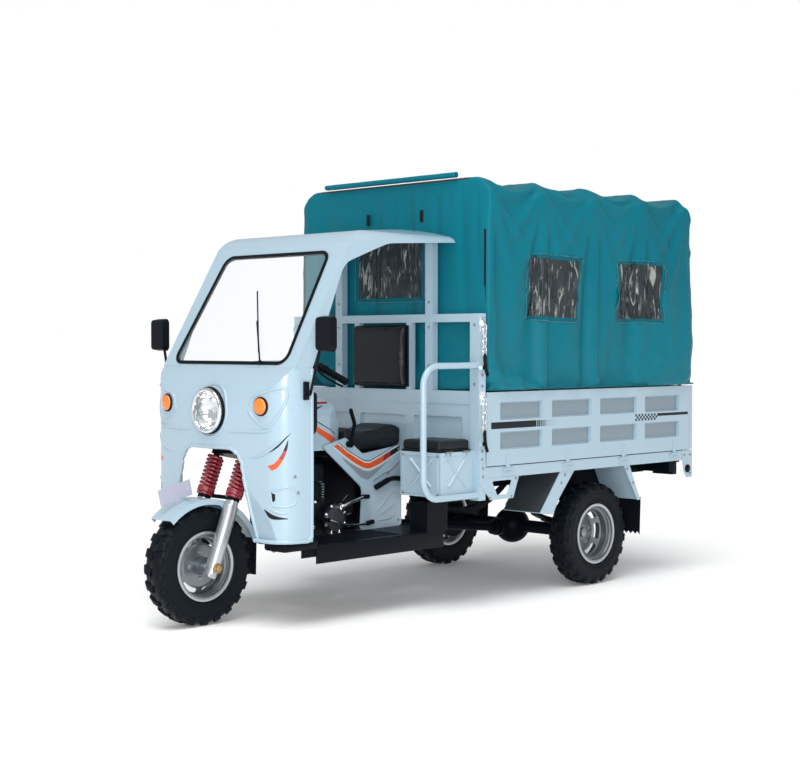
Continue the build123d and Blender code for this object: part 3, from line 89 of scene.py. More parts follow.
def placed(name, data):
    obj = bpy.data.objects.new(name, data)
    bpy.context.scene.collection.objects.link(obj)
    return obj


def piece(name, mesh, body, finish, angle=35):
    """A mesh as a finished piece of the tricycle, riding on its body."""
    smooth(mesh, angle)
    obj = placed(name, mesh)
    mesh.materials.clear()
    mesh.materials.append(FINISHES[finish])
    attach(obj, body)
    return obj


def joined(name, parts):
    bm = bmesh.new()
    for part in parts:
        bm.from_mesh(part)
        bpy.data.meshes.remove(part)
    mesh = bpy.data.meshes.new(name)
    bm.to_mesh(mesh)
    bm.free()
    return mesh


def moved(mesh, matrix):
    mesh.transform(matrix)
    if matrix.determinant() < 0:
        mesh.flip_normals()
    return mesh


def copied(mesh, matrix=None):
    other = mesh.copy()
    if matrix is not None:
        moved(other, matrix)
    return other


def right_side(mesh):
    return copied(mesh, MIRROR)


def both_sides(name, mesh):
    return joined(name, [right_side(mesh), mesh])


def sided(mesh, side):
    """A left-side mesh, mirrored if it's for the right side."""
    return moved(mesh, MIRROR) if side < 0 else mesh


def pair(name, parts, finish, angle=35, body="chassis"):
    """A piece made of left-side parts and their mirror images."""
    return piece(name, both_sides(name, joined(name, parts)), body, finish, angle)


def thickened(obj, label, thickness):
    wall = obj.modifiers.new(label, "SOLIDIFY")
    wall.thickness = thickness
    wall.offset = 0.0


def finer(obj, label):
    fine = obj.modifiers.new(label, "SUBSURF")
    fine.levels = fine.render_levels = 1


def tube(points, radius, sides=12, closed=False):
    points = [Vector(p) for p in points]
    count = len(points)
    radii = radius if hasattr(radius, "__len__") else [radius] * count
    verts, faces = [], []
    side = None
    for i, point in enumerate(points):
        if closed:
            ahead = points[(i + 1) % count] - points[i - 1]
        else:
            ahead = points[min(i + 1, count - 1)] - points[max(i - 1, 0)]
        ahead.normalize()
        if side is None:
            side = ahead.orthogonal().normalized()
        else:
            side = (side - ahead * side.dot(ahead)).normalized()
        other = ahead.cross(side)
        for k in range(sides):
            turn = 2 * math.pi * k / sides
            verts.append(point + (side * math.cos(turn) + other * math.sin(turn)) * radii[i])
    rings = count if closed else count - 1
    for i in range(rings):
        a, b = i * sides, ((i + 1) % count) * sides
        for k in range(sides):
            n = (k + 1) % sides
            faces.append((a + k, a + n, b + n, b + k))
    if not closed:
        faces.append(tuple(reversed(range(sides))))
        faces.append(tuple(range((count - 1) * sides, count * sides)))
    return mesh_of("tube", verts, faces)


def curved(points, steps=8):
    points = [Vector(p) for p in points]
    line = []
    for i in range(len(points) - 1):
        a, b = points[i], points[i + 1]
        before = points[i - 1] if i else a * 2 - b
        after = points[i + 2] if i + 2 < len(points) else b * 2 - a
        for k in range(steps):
            t = k / steps
            line.append(
                0.5 * (2 * a + (b - before) * t + (2 * before - 5 * a + 4 * b - after) * t * t
                       + (3 * a - before - 3 * b + after) * t * t * t)
            )
    line.append(points[-1])
    return line


def lathe(profile, centre, axis, steps=48):
    axis = Vector(axis).normalized()
    centre = Vector(centre)
    side = axis.orthogonal().normalized()
    other = axis.cross(side)
    verts, faces = [], []
    for along, radius in profile:
        for k in range(steps):
            turn = 2 * math.pi * k / steps
            verts.append(centre + axis * along + (side * math.cos(turn) + other * math.sin(turn)) * radius)
    for i in range(len(profile) - 1):
        a, b = i * steps, (i + 1) * steps
        for k in range(steps):
            n = (k + 1) % steps
            faces.append((a + k, a + n, b + n, b + k))
    return outward(mesh_of("lathe", verts, faces))


def rounded_block(low, high, radius, segments=3):
    bm = bmesh.new()
    bmesh.ops.create_cube(bm, size=1)
    low, high = Vector(low), Vector(high)
    for v in bm.verts:
        for k in range(3):
            v.co[k] = low[k] if v.co[k] < 0 else high[k]
    bmesh.ops.bevel(
        bm, geom=bm.edges, offset=radius, segments=segments, profile=0.5, affect="EDGES"
    )
    mesh = bpy.data.meshes.new("block")
    bm.to_mesh(mesh)
    bm.free()
    return outward(mesh)


def plate(outline, thickness, bevel=0.0):
    """A flat plate: outline points in order, its thickness along the vector given."""
    thickness = Vector(thickness)
    bm = bmesh.new()
    low = [bm.verts.new(Vector(p)) for p in outline]
    top = [bm.verts.new(Vector(p) + thickness) for p in outline]
    bm.faces.new(low)
    bm.faces.new(list(reversed(top)))
    count = len(low)
    for i in range(count):
        n = (i + 1) % count
        bm.faces.new((low[i], top[i], top[n], low[n]))
    bmesh.ops.recalc_face_normals(bm, faces=bm.faces)
    if bevel:
        edges = [e for e in bm.edges if e.calc_face_angle(0) > 0.5]
        bmesh.ops.bevel(bm, geom=edges, offset=bevel, segments=2, profile=0.5, affect="EDGES")
    mesh = bpy.data.meshes.new("plate")
    bm.to_mesh(mesh)
    bm.free()
    return mesh


def surface_of(*nodes):
    verts, faces = [], []
    for node in nodes:
        mesh = frame["nodes"][node].data
        base = len(verts)
        verts += [v.co.copy() for v in mesh.vertices]
        faces += [tuple(base + i for i in p.vertices) for p in mesh.polygons]
    return BVHTree.FromPolygons(verts, faces)


# Node helpers

FLOAT, COLOUR, INTEGER = "NodeSocketFloat", "NodeSocketColor", "NodeSocketInt"
GEOMETRY, MATERIAL, OBJECT = "NodeSocketGeometry", "NodeSocketMaterial", "NodeSocketObject"


def wire(tree, source, label, target, socket):
    tree.links.new(source.outputs[label], target.inputs[socket])


def tree_of(name, sockets):
    """A tree from a mesh to a mesh, with a finish and the sockets given."""
    tree = bpy.data.node_groups.new(name, "GeometryNodeTree")
    for label, kind, default in [("Geometry", GEOMETRY, None), *sockets, ("Finish", MATERIAL, None)]:
        socket = tree.interface.new_socket(label, in_out="INPUT", socket_type=kind)
        if default is not None:
            socket.default_value = default
    tree.interface.new_socket("Geometry", in_out="OUTPUT", socket_type=GEOMETRY)
    return tree, tree.nodes.new("NodeGroupInput"), tree.nodes.new("NodeGroupOutput")


def close_tree(tree, given, result, geometry):
    real = tree.nodes.new("GeometryNodeRealizeInstances")
    paint = tree.nodes.new("GeometryNodeSetMaterial")
    tree.links.new(geometry, real.inputs["Geometry"])
    wire(tree, real, "Geometry", paint, "Geometry")
    wire(tree, given, "Finish", paint, "Material")
    wire(tree, paint, "Geometry", result, "Geometry")
    return tree


def turn_tree():
    """Repeats its own mesh round the wheel's axle."""
    tree, given, result = tree_of("Turn_repeat", [("Count", INTEGER, 8), ("Start", FLOAT, 0.0)])
    line = tree.nodes.new("GeometryNodeMeshLine")
    line.inputs["Offset"].default_value = (0, 0, 0)
    index = tree.nodes.new("GeometryNodeInputIndex")
    step = tree.nodes.new("ShaderNodeMath")
    step.operation = "DIVIDE"
    step.inputs[0].default_value = 2 * math.pi
    turn = tree.nodes.new("ShaderNodeMath")
    turn.operation = "MULTIPLY_ADD"
    spin = tree.nodes.new("ShaderNodeCombineXYZ")
    euler = tree.nodes.new("FunctionNodeEulerToRotation")
    put = tree.nodes.new("GeometryNodeInstanceOnPoints")
    wire(tree, given, "Count", line, "Count")
    wire(tree, given, "Count", step, 1)
    wire(tree, index, "Index", turn, 0)
    wire(tree, step, "Value", turn, 1)
    wire(tree, given, "Start", turn, 2)
    wire(tree, turn, "Value", spin, "Y")
    wire(tree, spin, "Vector", euler, "Euler")
    wire(tree, line, "Mesh", put, "Points")
    wire(tree, given, "Geometry", put, "Instance")
    wire(tree, euler, "Rotation", put, "Rotation")
    return close_tree(tree, given, result, put.outputs["Instances"])


def point_tree():
    """Puts a unit on each point, turned along the point's own facing."""
    tree, given, result = tree_of("Point_repeat", [("Unit", OBJECT, None)])
    unit = tree.nodes.new("GeometryNodeObjectInfo")
    facing = tree.nodes.new("GeometryNodeInputNamedAttribute")
    facing.data_type = "FLOAT_VECTOR"
    facing.inputs["Name"].default_value = "facing"
    aim = tree.nodes.new("FunctionNodeAlignRotationToVector")
    aim.axis = "Z"
    put = tree.nodes.new("GeometryNodeInstanceOnPoints")
    wire(tree, given, "Unit", unit, "Object")
    wire(tree, facing, "Attribute", aim, "Vector")
    wire(tree, given, "Geometry", put, "Points")
    wire(tree, unit, "Geometry", put, "Instance")
    wire(tree, aim, "Rotation", put, "Rotation")
    return close_tree(tree, given, result, put.outputs["Instances"])


def coil_tree():
    """A round wire wound into a coil along Z."""
    tree, given, result = tree_of("Wire_coil", [
        ("Turns", FLOAT, 9.0), ("Radius", FLOAT, 0.026), ("Wire", FLOAT, 0.005), ("Height", FLOAT, 0.2),
    ])
    spiral = tree.nodes.new("GeometryNodeCurveSpiral")
    spiral.inputs["Resolution"].default_value = 22
    ring = tree.nodes.new("GeometryNodeCurvePrimitiveCircle")
    ring.inputs["Resolution"].default_value = 10
    sweep = tree.nodes.new("GeometryNodeCurveToMesh")
    sweep.inputs["Fill Caps"].default_value = True
    wire(tree, given, "Turns", spiral, "Rotations")
    wire(tree, given, "Radius", spiral, "Start Radius")
    wire(tree, given, "Radius", spiral, "End Radius")
    wire(tree, given, "Height", spiral, "Height")
    wire(tree, given, "Wire", ring, "Radius")
    wire(tree, spiral, "Curve", sweep, "Curve")
    wire(tree, ring, "Curve", sweep, "Profile Curve")
    return close_tree(tree, given, result, sweep.outputs["Mesh"])


TREES = {}


def grown(kind, mesh, **values):
    """Runs one of the trees on a mesh and returns the plain mesh that it makes."""
    makers = {"turn": turn_tree, "point": point_tree, "coil": coil_tree}
    if kind not in TREES:
        TREES[kind] = makers[kind]()
    tree = TREES[kind]
    holder = placed("holder", mesh)
    modifier = holder.modifiers.new("Repeat", "NODES")
    modifier.node_group = tree
    known = {s.name: s.identifier for s in tree.interface.items_tree if s.in_out == "INPUT"}
    for label, value in values.items():
        modifier[known[label]] = value
    depsgraph = bpy.context.evaluated_depsgraph_get()
    made = bpy.data.meshes.new_from_object(holder.evaluated_get(depsgraph))
    holder.modifiers.remove(modifier)
    bpy.data.objects.remove(holder)
    bpy.data.meshes.remove(mesh)
    return made


def on_points(unit, spots, finish):
    """The unit mesh on each (place, facing) spot, as one plain mesh."""
    mesh = mesh_of("spots", [s[0] for s in spots], [])
    facing = mesh.attributes.new("facing", "FLOAT_VECTOR", "POINT")
    for i, spot in enumerate(spots):
        facing.data[i].vector = Vector(spot[1]).normalized()
    carrier = placed("unit", unit)
    made = grown("point", mesh, Unit=carrier, Finish=FINISHES[finish])
    bpy.data.objects.remove(carrier)
    bpy.data.meshes.remove(unit)
    return made


# Shared shader effects

def group_of(name, inputs, outputs):
    group = bpy.data.node_groups.new(name, "ShaderNodeTree")
    for label, kind, default in inputs:
        socket = group.interface.new_socket(label, in_out="INPUT", socket_type=kind)
        socket.default_value = default
    for label, kind in outputs:
        group.interface.new_socket(label, in_out="OUTPUT", socket_type=kind)
    return group, group.nodes.new("NodeGroupInput"), group.nodes.new("NodeGroupOutput")


def noise_node(group, scale, detail=4.0, rough=0.55):
    place = group.nodes.new("ShaderNodeTexCoord")
    noise = group.nodes.new("ShaderNodeTexNoise")
    noise.inputs["Detail"].default_value = detail
    noise.inputs["Roughness"].default_value = rough
    wire(group, place, "Object", noise, "Vector")
    if isinstance(scale, (int, float)):
        noise.inputs["Scale"].default_value = scale
    else:
        group.links.new(scale, noise.inputs["Scale"])
    return noise.outputs["Fac"]


def math_node(group, operation, a, b=None, clamp=False):
    node = group.nodes.new("ShaderNodeMath")
    node.operation = operation
    node.use_clamp = clamp
    for socket, value in zip(node.inputs, (a, b)):
        if value is None:
            continue
        if isinstance(value, (int, float)):
            socket.default_value = value
        else:
            group.links.new(value, socket)
    return node.outputs["Value"]


def range_node(group, value, low, high, to_low, to_high):
    node = group.nodes.new("ShaderNodeMapRange")
    group.links.new(value, node.inputs["Value"])
    for label, given in (("From Min", low), ("From Max", high), ("To Min", to_low), ("To Max", to_high)):
        if isinstance(given, (int, float)):
            node.inputs[label].default_value = given
        else:
            group.links.new(given, node.inputs[label])
    return node.outputs["Result"]


def mix_node(group, factor, a, b, blend="MIX"):
    node = group.nodes.new("ShaderNodeMix")
    node.data_type = "RGBA"
    node.blend_type = blend
    for socket, value in zip((node.inputs[0], node.inputs[6], node.inputs[7]), (factor, a, b)):
        if isinstance(value, (int, float)):
            socket.default_value = value
        elif isinstance(value, tuple):
            socket.default_value = (*value[:3], 1)
        else:
            group.links.new(value, socket)
    return node.outputs[2]


def tone_group():
    """Slow changes of tone over a surface, as in paint, rubber or cloth."""
    group, given, result = group_of("Surface_tone", [
        ("Colour", COLOUR, (0.5, 0.5, 0.5, 1)), ("Scale", FLOAT, 4.0), ("Amount", FLOAT, 0.15),
    ], [("Colour", COLOUR), ("Shift", FLOAT)])
    broad = noise_node(group, given.outputs["Scale"])
    shift = math_node(group, "SUBTRACT", broad, 0.5)
    gain = math_node(group, "MULTIPLY", shift, given.outputs["Amount"])
    level = math_node(group, "ADD", gain, 1.0)
    scale = group.nodes.new("ShaderNodeVectorMath")
    scale.operation = "SCALE"
    wire(group, given, "Colour", scale, 0)
    group.links.new(level, scale.inputs["Scale"])
    wire(group, scale, "Vector", result, "Colour")
    group.links.new(shift, result.inputs["Shift"])
    return group


def dust_group():
    """Road dust that gathers low down and in blotches."""
    group, given, result = group_of("Road_dust", [
        ("Colour", COLOUR, (0.5, 0.5, 0.5, 1)), ("Dust", COLOUR, (0.30, 0.28, 0.25, 1)),
        ("Amount", FLOAT, 0.3), ("Low", FLOAT, 0.0), ("High", FLOAT, 0.6),
    ], [("Colour", COLOUR), ("Mask", FLOAT)])
    place = group.nodes.new("ShaderNodeTexCoord")
    split = group.nodes.new("ShaderNodeSeparateXYZ")
    wire(group, place, "Object", split, 0)
    fall = range_node(group, split.outputs["Z"], given.outputs["Low"], given.outputs["High"], 1.0, 0.0)
    blotch = range_node(group, noise_node(group, 14.0, 6.0, 0.65), 0.35, 0.7, 0.15, 1.0)
    mask = math_node(group, "MULTIPLY", fall, blotch)
    mask = math_node(group, "MULTIPLY", mask, given.outputs["Amount"], clamp=True)
    colour = mix_node(group, mask, given.outputs["Colour"], given.outputs["Dust"])
    group.links.new(colour, result.inputs["Colour"])
    group.links.new(mask, result.inputs["Mask"])
    return group


def grain_group():
    """Fine grain for bump and gloss, as in moulded plastic, vinyl and cast metal."""
    group, given, result = group_of("Fine_grain", [
        ("Scale", FLOAT, 300.0), ("Gloss", FLOAT, 0.4), ("Spread", FLOAT, 0.1),
    ], [("Height", FLOAT), ("Roughness", FLOAT)])
    fine = noise_node(group, given.outputs["Scale"], 2.0, 0.6)
    broad = noise_node(group, 9.0, 3.0, 0.5)
    shift = math_node(group, "SUBTRACT", broad, 0.5)
    spread = math_node(group, "MULTIPLY", shift, given.outputs["Spread"])
    group.links.new(fine, result.inputs["Height"])
    rough = math_node(group, "ADD", spread, given.outputs["Gloss"], clamp=True)
    group.links.new(rough, result.inputs["Roughness"])
    return group


def weave_group():
    """Plain weave over a cloth's own map, in threads to the metre."""
    group, given, result = group_of("Plain_weave", [("Threads", FLOAT, 700.0)], [("Height", FLOAT)])
    place = group.nodes.new("ShaderNodeTexCoord")
    split = group.nodes.new("ShaderNodeSeparateXYZ")
    wire(group, place, "UV", split, 0)
    waves = []
    for label in ("X", "Y"):
        turn = math_node(group, "MULTIPLY", split.outputs[label], given.outputs["Threads"])
        turn = math_node(group, "MULTIPLY", turn, 2 * math.pi)
        waves.append(math_node(group, "SINE", turn))
    product = math_node(group, "MULTIPLY", *waves)
    group.links.new(math_node(group, "MULTIPLY", product, 0.5), result.inputs["Height"])
    return group


GROUPS = {}


def effect(material, name, **values):
    makers = {"tone": tone_group, "dust": dust_group, "grain": grain_group, "weave": weave_group}
    if name not in GROUPS:
        GROUPS[name] = makers[name]()
    node = material.node_tree.nodes.new("ShaderNodeGroup")
    node.node_tree = GROUPS[name]
    for label, value in values.items():
        socket = node.inputs[label]
        if isinstance(value, (int, float)):
            socket.default_value = value
        elif isinstance(value, tuple):
            socket.default_value = (*value, 1)
        else:
            material.node_tree.links.new(value, socket)
    return node


# Sizes the user may change

class TrikeColours(bpy.types.PropertyGroup):
    body: FloatVectorProperty(
        name="Body paint", description="Colour of the cab, gates and boxes", subtype="COLOR",
        size=3, min=0, max=1, default=(0.365, 0.500, 0.592),
    )
    cover: FloatVectorProperty(
        name="Canopy cloth", description="Colour of the coated canopy cloth", subtype="COLOR",
        size=3, min=0, max=1, default=(0.002, 0.150, 0.202),
    )
    stripe: FloatVectorProperty(
        name="Stripe", description="Colour of the stripes on tank, panels and fairing",
        subtype="COLOR", size=3, min=0, max=1, default=(0.68, 0.090, 0.018),
    )
    spring: FloatVectorProperty(
        name="Springs", description="Colour of the fork springs", subtype="COLOR",
        size=3, min=0, max=1, default=(0.25, 0.010, 0.022),
    )


class TrikeSizes(bpy.types.PropertyGroup):
    lugs: IntProperty(
        name="Tyre lugs", description="Lugs on each side of a tyre", min=12, max=40, default=22,
    )
    turns: FloatProperty(
        name="Spring turns", description="Open turns of a fork spring", min=5, max=14, default=8.5,
    )
    slack: FloatProperty(
        name="Canopy slack", description="Spare length of the canopy cloth", subtype="FACTOR",
        min=0, max=0.05, default=0.040,
    )
    mesh: FloatProperty(
        name="Canopy mesh", description="Spacing of the canopy's mesh", unit="LENGTH",
        min=0.02, max=0.06, default=0.026,
    )
    daylight: FloatProperty(
        name="Daylight", description="Strength of the high soft light", min=0, max=10, default=1.75,
    )
    sky: FloatProperty(
        name="Sky", description="Strength of the light from all round", min=0, max=2, default=0.50,
    )


def colours():
    return bpy.context.scene.trike_colours


def sizes():
    return bpy.context.scene.trike_sizes


# Finishes

FINISHES = {}


def new_material(name):
    material = bpy.data.materials.new(name)
    material.use_nodes = True
    return material, material.node_tree, material.node_tree.nodes["Principled BSDF"]


def set_values(node, **values):
    for label, value in values.items():
        node.inputs[label.replace("_", " ")].default_value = value


def relieved(tree, shader, height, strength, distance):
    """Gives a shader a bump from a height."""
    relief = tree.nodes.new("ShaderNodeBump")
    set_values(relief, Strength=strength, Distance=distance)
    tree.links.new(height, relief.inputs["Height"])
    wire(tree, relief, "Normal", shader, "Normal")


def finished(
    name, colour, metal=0.0, gloss=0.4, tone=0.08, tone_scale=3.0, grain=300.0, bump=0.05, spread=0.12,
    dust=0.0, coat=0.0, shine=0.5,
):
    """A rigid finish: tone, road dust, grain and gloss, each with its own strength."""
    material, tree, shader = new_material(name)
    tinted = effect(material, "tone", Colour=tuple(colour), Scale=tone_scale, Amount=tone)
    dusty = effect(material, "dust", Colour=tinted.outputs["Colour"], Amount=dust, High=0.7)
    grainy = effect(material, "grain", Scale=grain, Gloss=gloss, Spread=spread)
    wire(tree, dusty, "Colour", shader, "Base Color")
    relieved(tree, shader, grainy.outputs["Height"], bump, 0.001)
    rough = math_node(tree, "MULTIPLY", dusty.outputs["Mask"], 0.5)
    rough = math_node(tree, "ADD", rough, grainy.outputs["Roughness"], clamp=True)
    tree.links.new(rough, shader.inputs["Roughness"])
    set_values(shader, Metallic=metal, Coat_Weight=coat, Coat_Roughness=0.08, Specular_IOR_Level=shine)
    return material


def cloth_finish(name, colour, threads, bump):
    """Coated canopy cloth with a plain weave and a slow change of tone."""
    material, tree, shader = new_material(name)
    tinted = effect(material, "tone", Colour=tuple(colour), Scale=2.2, Amount=0.30)
    dusty = effect(
        material, "dust", Colour=tinted.outputs["Colour"], Dust=(0.12, 0.36, 0.42), Amount=0.10, Low=1.1, High=1.7
    )
    weave = effect(material, "weave", Threads=threads)
    grainy = effect(material, "grain", Scale=55.0, Gloss=0.46, Spread=0.30)
    height = math_node(tree, "MULTIPLY", weave.outputs["Height"], 0.35)
    height = math_node(tree, "ADD", height, grainy.outputs["Height"])
    relieved(tree, shader, height, bump, 0.002)
    wire(tree, dusty, "Colour", shader, "Base Color")
    wire(tree, grainy, "Roughness", shader, "Roughness")
    set_values(shader, Specular_IOR_Level=0.11)
    return material


def film_finish():
    """Clear window film, smoky, with crinkles in its bump and pale streaks mixed into its colour as painted
    reflections.
    """
    material, tree, shader = new_material("Window_film")
    tinted = effect(material, "tone", Colour=(0.030, 0.040, 0.046), Scale=9.0, Amount=0.8)
    place = tree.nodes.new("ShaderNodeTexCoord")
    cells = tree.nodes.new("ShaderNodeTexVoronoi")
    cells.feature = "SMOOTH_F1"
    set_values(cells, Scale=13.0)
    stretch = tree.nodes.new("ShaderNodeMapping")
    set_values(stretch, Scale=(2.7, 2.7, 0.6))
    wire(tree, place, "Object", stretch, "Vector")
    wire(tree, stretch, "Vector", cells, "Vector")
    relieved(tree, shader, cells.outputs["Distance"], 0.75, 0.03)
    # Painted reflection: stretched noise lays pale streaks into the film's base colour, standing in for light
    # caught on the crinkles.
    painted_reflection = tree.nodes.new("ShaderNodeTexNoise")
    set_values(painted_reflection, Scale=11.0, Detail=5.0, Distortion=1.6)
    wire(tree, stretch, "Vector", painted_reflection, "Vector")
    reflection_mask = range_node(tree, painted_reflection.outputs["Fac"], 0.58, 0.68, 0.0, 0.75)
    mixed = mix_node(tree, reflection_mask, tinted.outputs["Colour"], (0.50, 0.53, 0.50, 1))
    tree.links.new(mixed, shader.inputs["Base Color"])
    set_values(shader, Roughness=0.12, Specular_IOR_Level=0.25, Coat_Weight=0.2, Alpha=0.80)
    return material


def glass_finish(name, colour, alpha):
    """Thin clear glass."""
    material, tree, shader = new_material(name)
    tinted = effect(material, "tone", Colour=tuple(colour), Scale=1.5, Amount=0.05)
    wire(tree, tinted, "Colour", shader, "Base Color")
    set_values(shader, Roughness=0.03, Coat_Weight=1.0, Alpha=alpha)
    return material


def lens_finish(name, colour, glow):
    """A coloured lamp lens with fine prisms."""
    material, tree, shader = new_material(name)
    tinted = effect(material, "tone", Colour=tuple(colour), Scale=20.0, Amount=0.25)
    place = tree.nodes.new("ShaderNodeTexCoord")
    prisms = tree.nodes.new("ShaderNodeTexWave")
    prisms.bands_direction = "Z"
    set_values(prisms, Scale=62.0)
    wire(tree, place, "Object", prisms, "Vector")
    relieved(tree, shader, prisms.outputs["Fac"], 0.35, 0.002)
    wire(tree, tinted, "Colour", shader, "Base Color")
    wire(tree, tinted, "Colour", shader, "Emission Color")
    set_values(shader, Emission_Strength=glow, Roughness=0.12, Coat_Weight=1.0)
    return material


def make_finishes():
    c = colours()
    FINISHES.update({
        "white_paint": finished(
            "Body_paint", c.body, gloss=0.30, tone=0.05, grain=900, bump=0.03, dust=0.10, coat=0.6,
        ),
        # Dark grey paint; also the painted shade plates on the mudguards' front faces.
        "grey_paint": finished("Dark_grey_paint_and_painted_shade", (0.040, 0.047, 0.053), gloss=0.36, tone=0.2, shine=0.3),
        "black_paint": finished("Frame_paint", (0.003, 0.006, 0.009), gloss=0.34, tone=0.25, shine=0.06),
        "black_plastic": finished(
            "Moulded_plastic", (0.004, 0.006, 0.009), gloss=0.34, grain=700, bump=0.10, shine=0.10,
        ),
        "rubber": finished("Rubber", (0.004, 0.006, 0.009), gloss=0.50, grain=450, bump=0.15, shine=0.10),
        "tyre": finished(
            "Tyre_rubber", (0.005, 0.008, 0.011), gloss=0.40, tone=0.3, grain=260, bump=0.20, shine=0.10,
        ),
        "steel": finished(
            "Plain_steel", (0.34, 0.35, 0.36), metal=0.85, gloss=0.36, tone=0.25, grain=500, dust=0.2,
        ),
        "alloy": finished("Cast_alloy", (0.50, 0.53, 0.56), metal=0.8, gloss=0.33, tone=0.14, grain=420, dust=0.15),
        "chrome": finished("Chrome", (0.80, 0.82, 0.84), metal=1.0, gloss=0.09, tone=0.05, bump=0.01, spread=0.06),
        "red_paint": finished("Spring_paint", c.spring, gloss=0.26, tone=0.12, bump=0.03, coat=0.6),
        "glass": glass_finish("Clear_glass", (0.62, 0.74, 0.76), 0.10), "film": film_finish(),
        "amber": lens_finish("Amber_lens", (0.74, 0.19, 0.010), 0.12),
        "red_lens": lens_finish("Red_lens", (0.45, 0.012, 0.010), 0.10),
        "vinyl": finished(
            "Pad_vinyl", (0.008, 0.011, 0.013), gloss=0.40, tone=0.2, grain=520, bump=0.30, shine=0.28,
        ),
        "tarpaulin": cloth_finish("Canopy_cloth", c.cover, 600.0, 0.10),
        "seam": cloth_finish("Canopy_seam", tuple(0.72 * k for k in c.cover), 600.0, 0.14),
        "webbing": cloth_finish("Black_webbing", (0.012, 0.013, 0.014), 400.0, 0.2),
        "stripe": finished("Stripe_film", c.stripe, gloss=0.28, tone=0.06, bump=0.01, coat=0.4),
        "stripe_deep": finished(
            "Stripe_film_deep", (0.36, 0.020, 0.012), gloss=0.28, tone=0.06, bump=0.01, coat=0.4,
        ),
        # Dark stripe film; the same finish also serves as painted shade in the bands beside the fairing ridges.
        "stripe_dark": finished(
            "Dark_stripe_and_painted_shade", (0.010, 0.012, 0.015), gloss=0.30, tone=0.1, bump=0.01, shine=0.2,
        ),
        # Grey stripe film for the fading gate dots; the same finish also serves as painted shade in the band below
        # the side panel stripe.
        "grey_stripe_and_painted_shade": finished("Grey_stripe_and_painted_shade", (0.22, 0.26, 0.29), gloss=0.30, tone=0.1, bump=0.01, coat=0.4),
        "stripe_white": finished(
            "Stripe_film_white", (0.60, 0.66, 0.70), gloss=0.28, tone=0.04, bump=0.01, coat=0.4,
        ),
        # Painted shade: a darker blue-grey laid in the gate pressings, standing in for the shade in their hollows.
        "recess": finished("Recess_shade", (0.205, 0.275, 0.325), gloss=0.35, tone=0.08, bump=0.03, coat=0.4),
        "engine_black": finished("Engine_paint", (0.005, 0.007, 0.010), gloss=0.34, tone=0.3, grain=420, shine=0.2),
        "wheel_grey": finished("Wheel_paint", (0.20, 0.225, 0.245), metal=0.75, gloss=0.32, tone=0.2, grain=420),
        "brass": finished("Axle_nut_finish", (0.42, 0.27, 0.12), metal=0.7, gloss=0.4, tone=0.2, grain=400),
        "mirror": finished(
            "Mirror_glass", (0.70, 0.74, 0.77), metal=1.0, gloss=0.04, tone=0.02, bump=0.0, spread=0.02,
        ),
        "blank_plate": finished("Blank_plate", (0.42, 0.42, 0.52), gloss=0.34, tone=0.06, bump=0.02, coat=0.3),
        "thread": finished("Stitch_thread", (0.30, 0.48, 0.52), gloss=0.7, tone=0.2, bump=0.1),
        "lamp_white": finished("Lamp_bulb", (0.85, 0.85, 0.82), gloss=0.15, tone=0.03, bump=0.01, coat=0.6),
    })


NODE_FINISH = {
    "front_plate": "blank_plate", "engine": "engine_black", "tail_lamps": "black_plastic",
    "driveshaft": "black_paint", "front_rim": "wheel_grey", "rear_left_rim": "wheel_grey",
    "rear_right_rim": "wheel_grey",
}


def paint_nodes():
    slots = {s["node"]: s["material_slot"] for s in frame["record"]["subparts"]}
    for name, obj in frame["nodes"].items():
        finish = FINISHES[NODE_FINISH.get(name, slots[name])]
        if not obj.material_slots:
            obj.data.materials.append(finish)
        for slot in obj.material_slots:
            slot.material = finish


# Canopy

CANOPY_LOW, CANOPY_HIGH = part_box("canopy")
COVER_SKIN = 0.002
COVER_HALF = CANOPY_HIGH.y - COVER_SKIN
COVER_TOP = CANOPY_HIGH.z - COVER_SKIN
COVER_HEM = CANOPY_LOW.z + 0.001
COVER_FRONT = CANOPY_HIGH.x - COVER_SKIN
COVER_REAR = CANOPY_LOW.x + COVER_SKIN
COVER_CORNER = 0.118
CREASE_REACH, CREASE_HALF, CREASE_RISE = 0.85, 0.022, 0.021
CREASE_LEANS = (-0.95, -0.38, 0.45, 1.10)
COVER_FRAMES = 34
COVER_SHIFT = 0.060
FRONT_ROOM, REAR_ROOM, SIDE_ROOM, TOP_ROOM = 0.007, 0.030, 0.034, 0.012
TOP_SAG, SAG_RUN = 0.040, 0.12
SOFT_EDGE = 0.05
BOW_GRIP, BOW_GRIP_DROP, BOW_NEAR = 0.017, 0.075, 0.045
TIE_STEP, TIE_EDGE, HEM_HOLD = 0.222, 0.42, 0.25
CLOTH_THICKNESS, FILM_THICKNESS, FLAP_THICKNESS = 0.0014, 0.0008, 0.0012
WELT_WIDTH, WELT_RISE = 0.030, 0.0022
HEM_LIFT, HEM_RADIUS = 0.004, 0.0042
STITCH_STEP, STITCH_LIFT, STITCH_INSET = 0.0065, 0.0026, 0.012
STITCH_LENGTH, STITCH_RADIUS = 0.0048, 0.0007
STRAP_X, STRAP_YS, STRAP_HALF, STRAP_LOW, STRAP_HIGH = 0.1338, (0.235, -0.165), 0.012, 1.985, 2.045
BOW_X = [0.116, -0.323, -0.762, -1.201, -1.640]
SIDE_WINDOW_X = (-0.402, -1.160)
SIDE_WINDOW = (0.1975, 1.514, 1.829)
END_WINDOW = (0.250, 1.602, 1.917)


def ruled(marks, step):
    marks = sorted(set(round(m, 5) for m in marks))
    lines = [marks[0]]
    for a, b in zip(marks, marks[1:]):
        count = max(1, round((b - a) / step))
        lines += [a + (b - a) * (i + 1) / count for i in range(count)]
    return lines


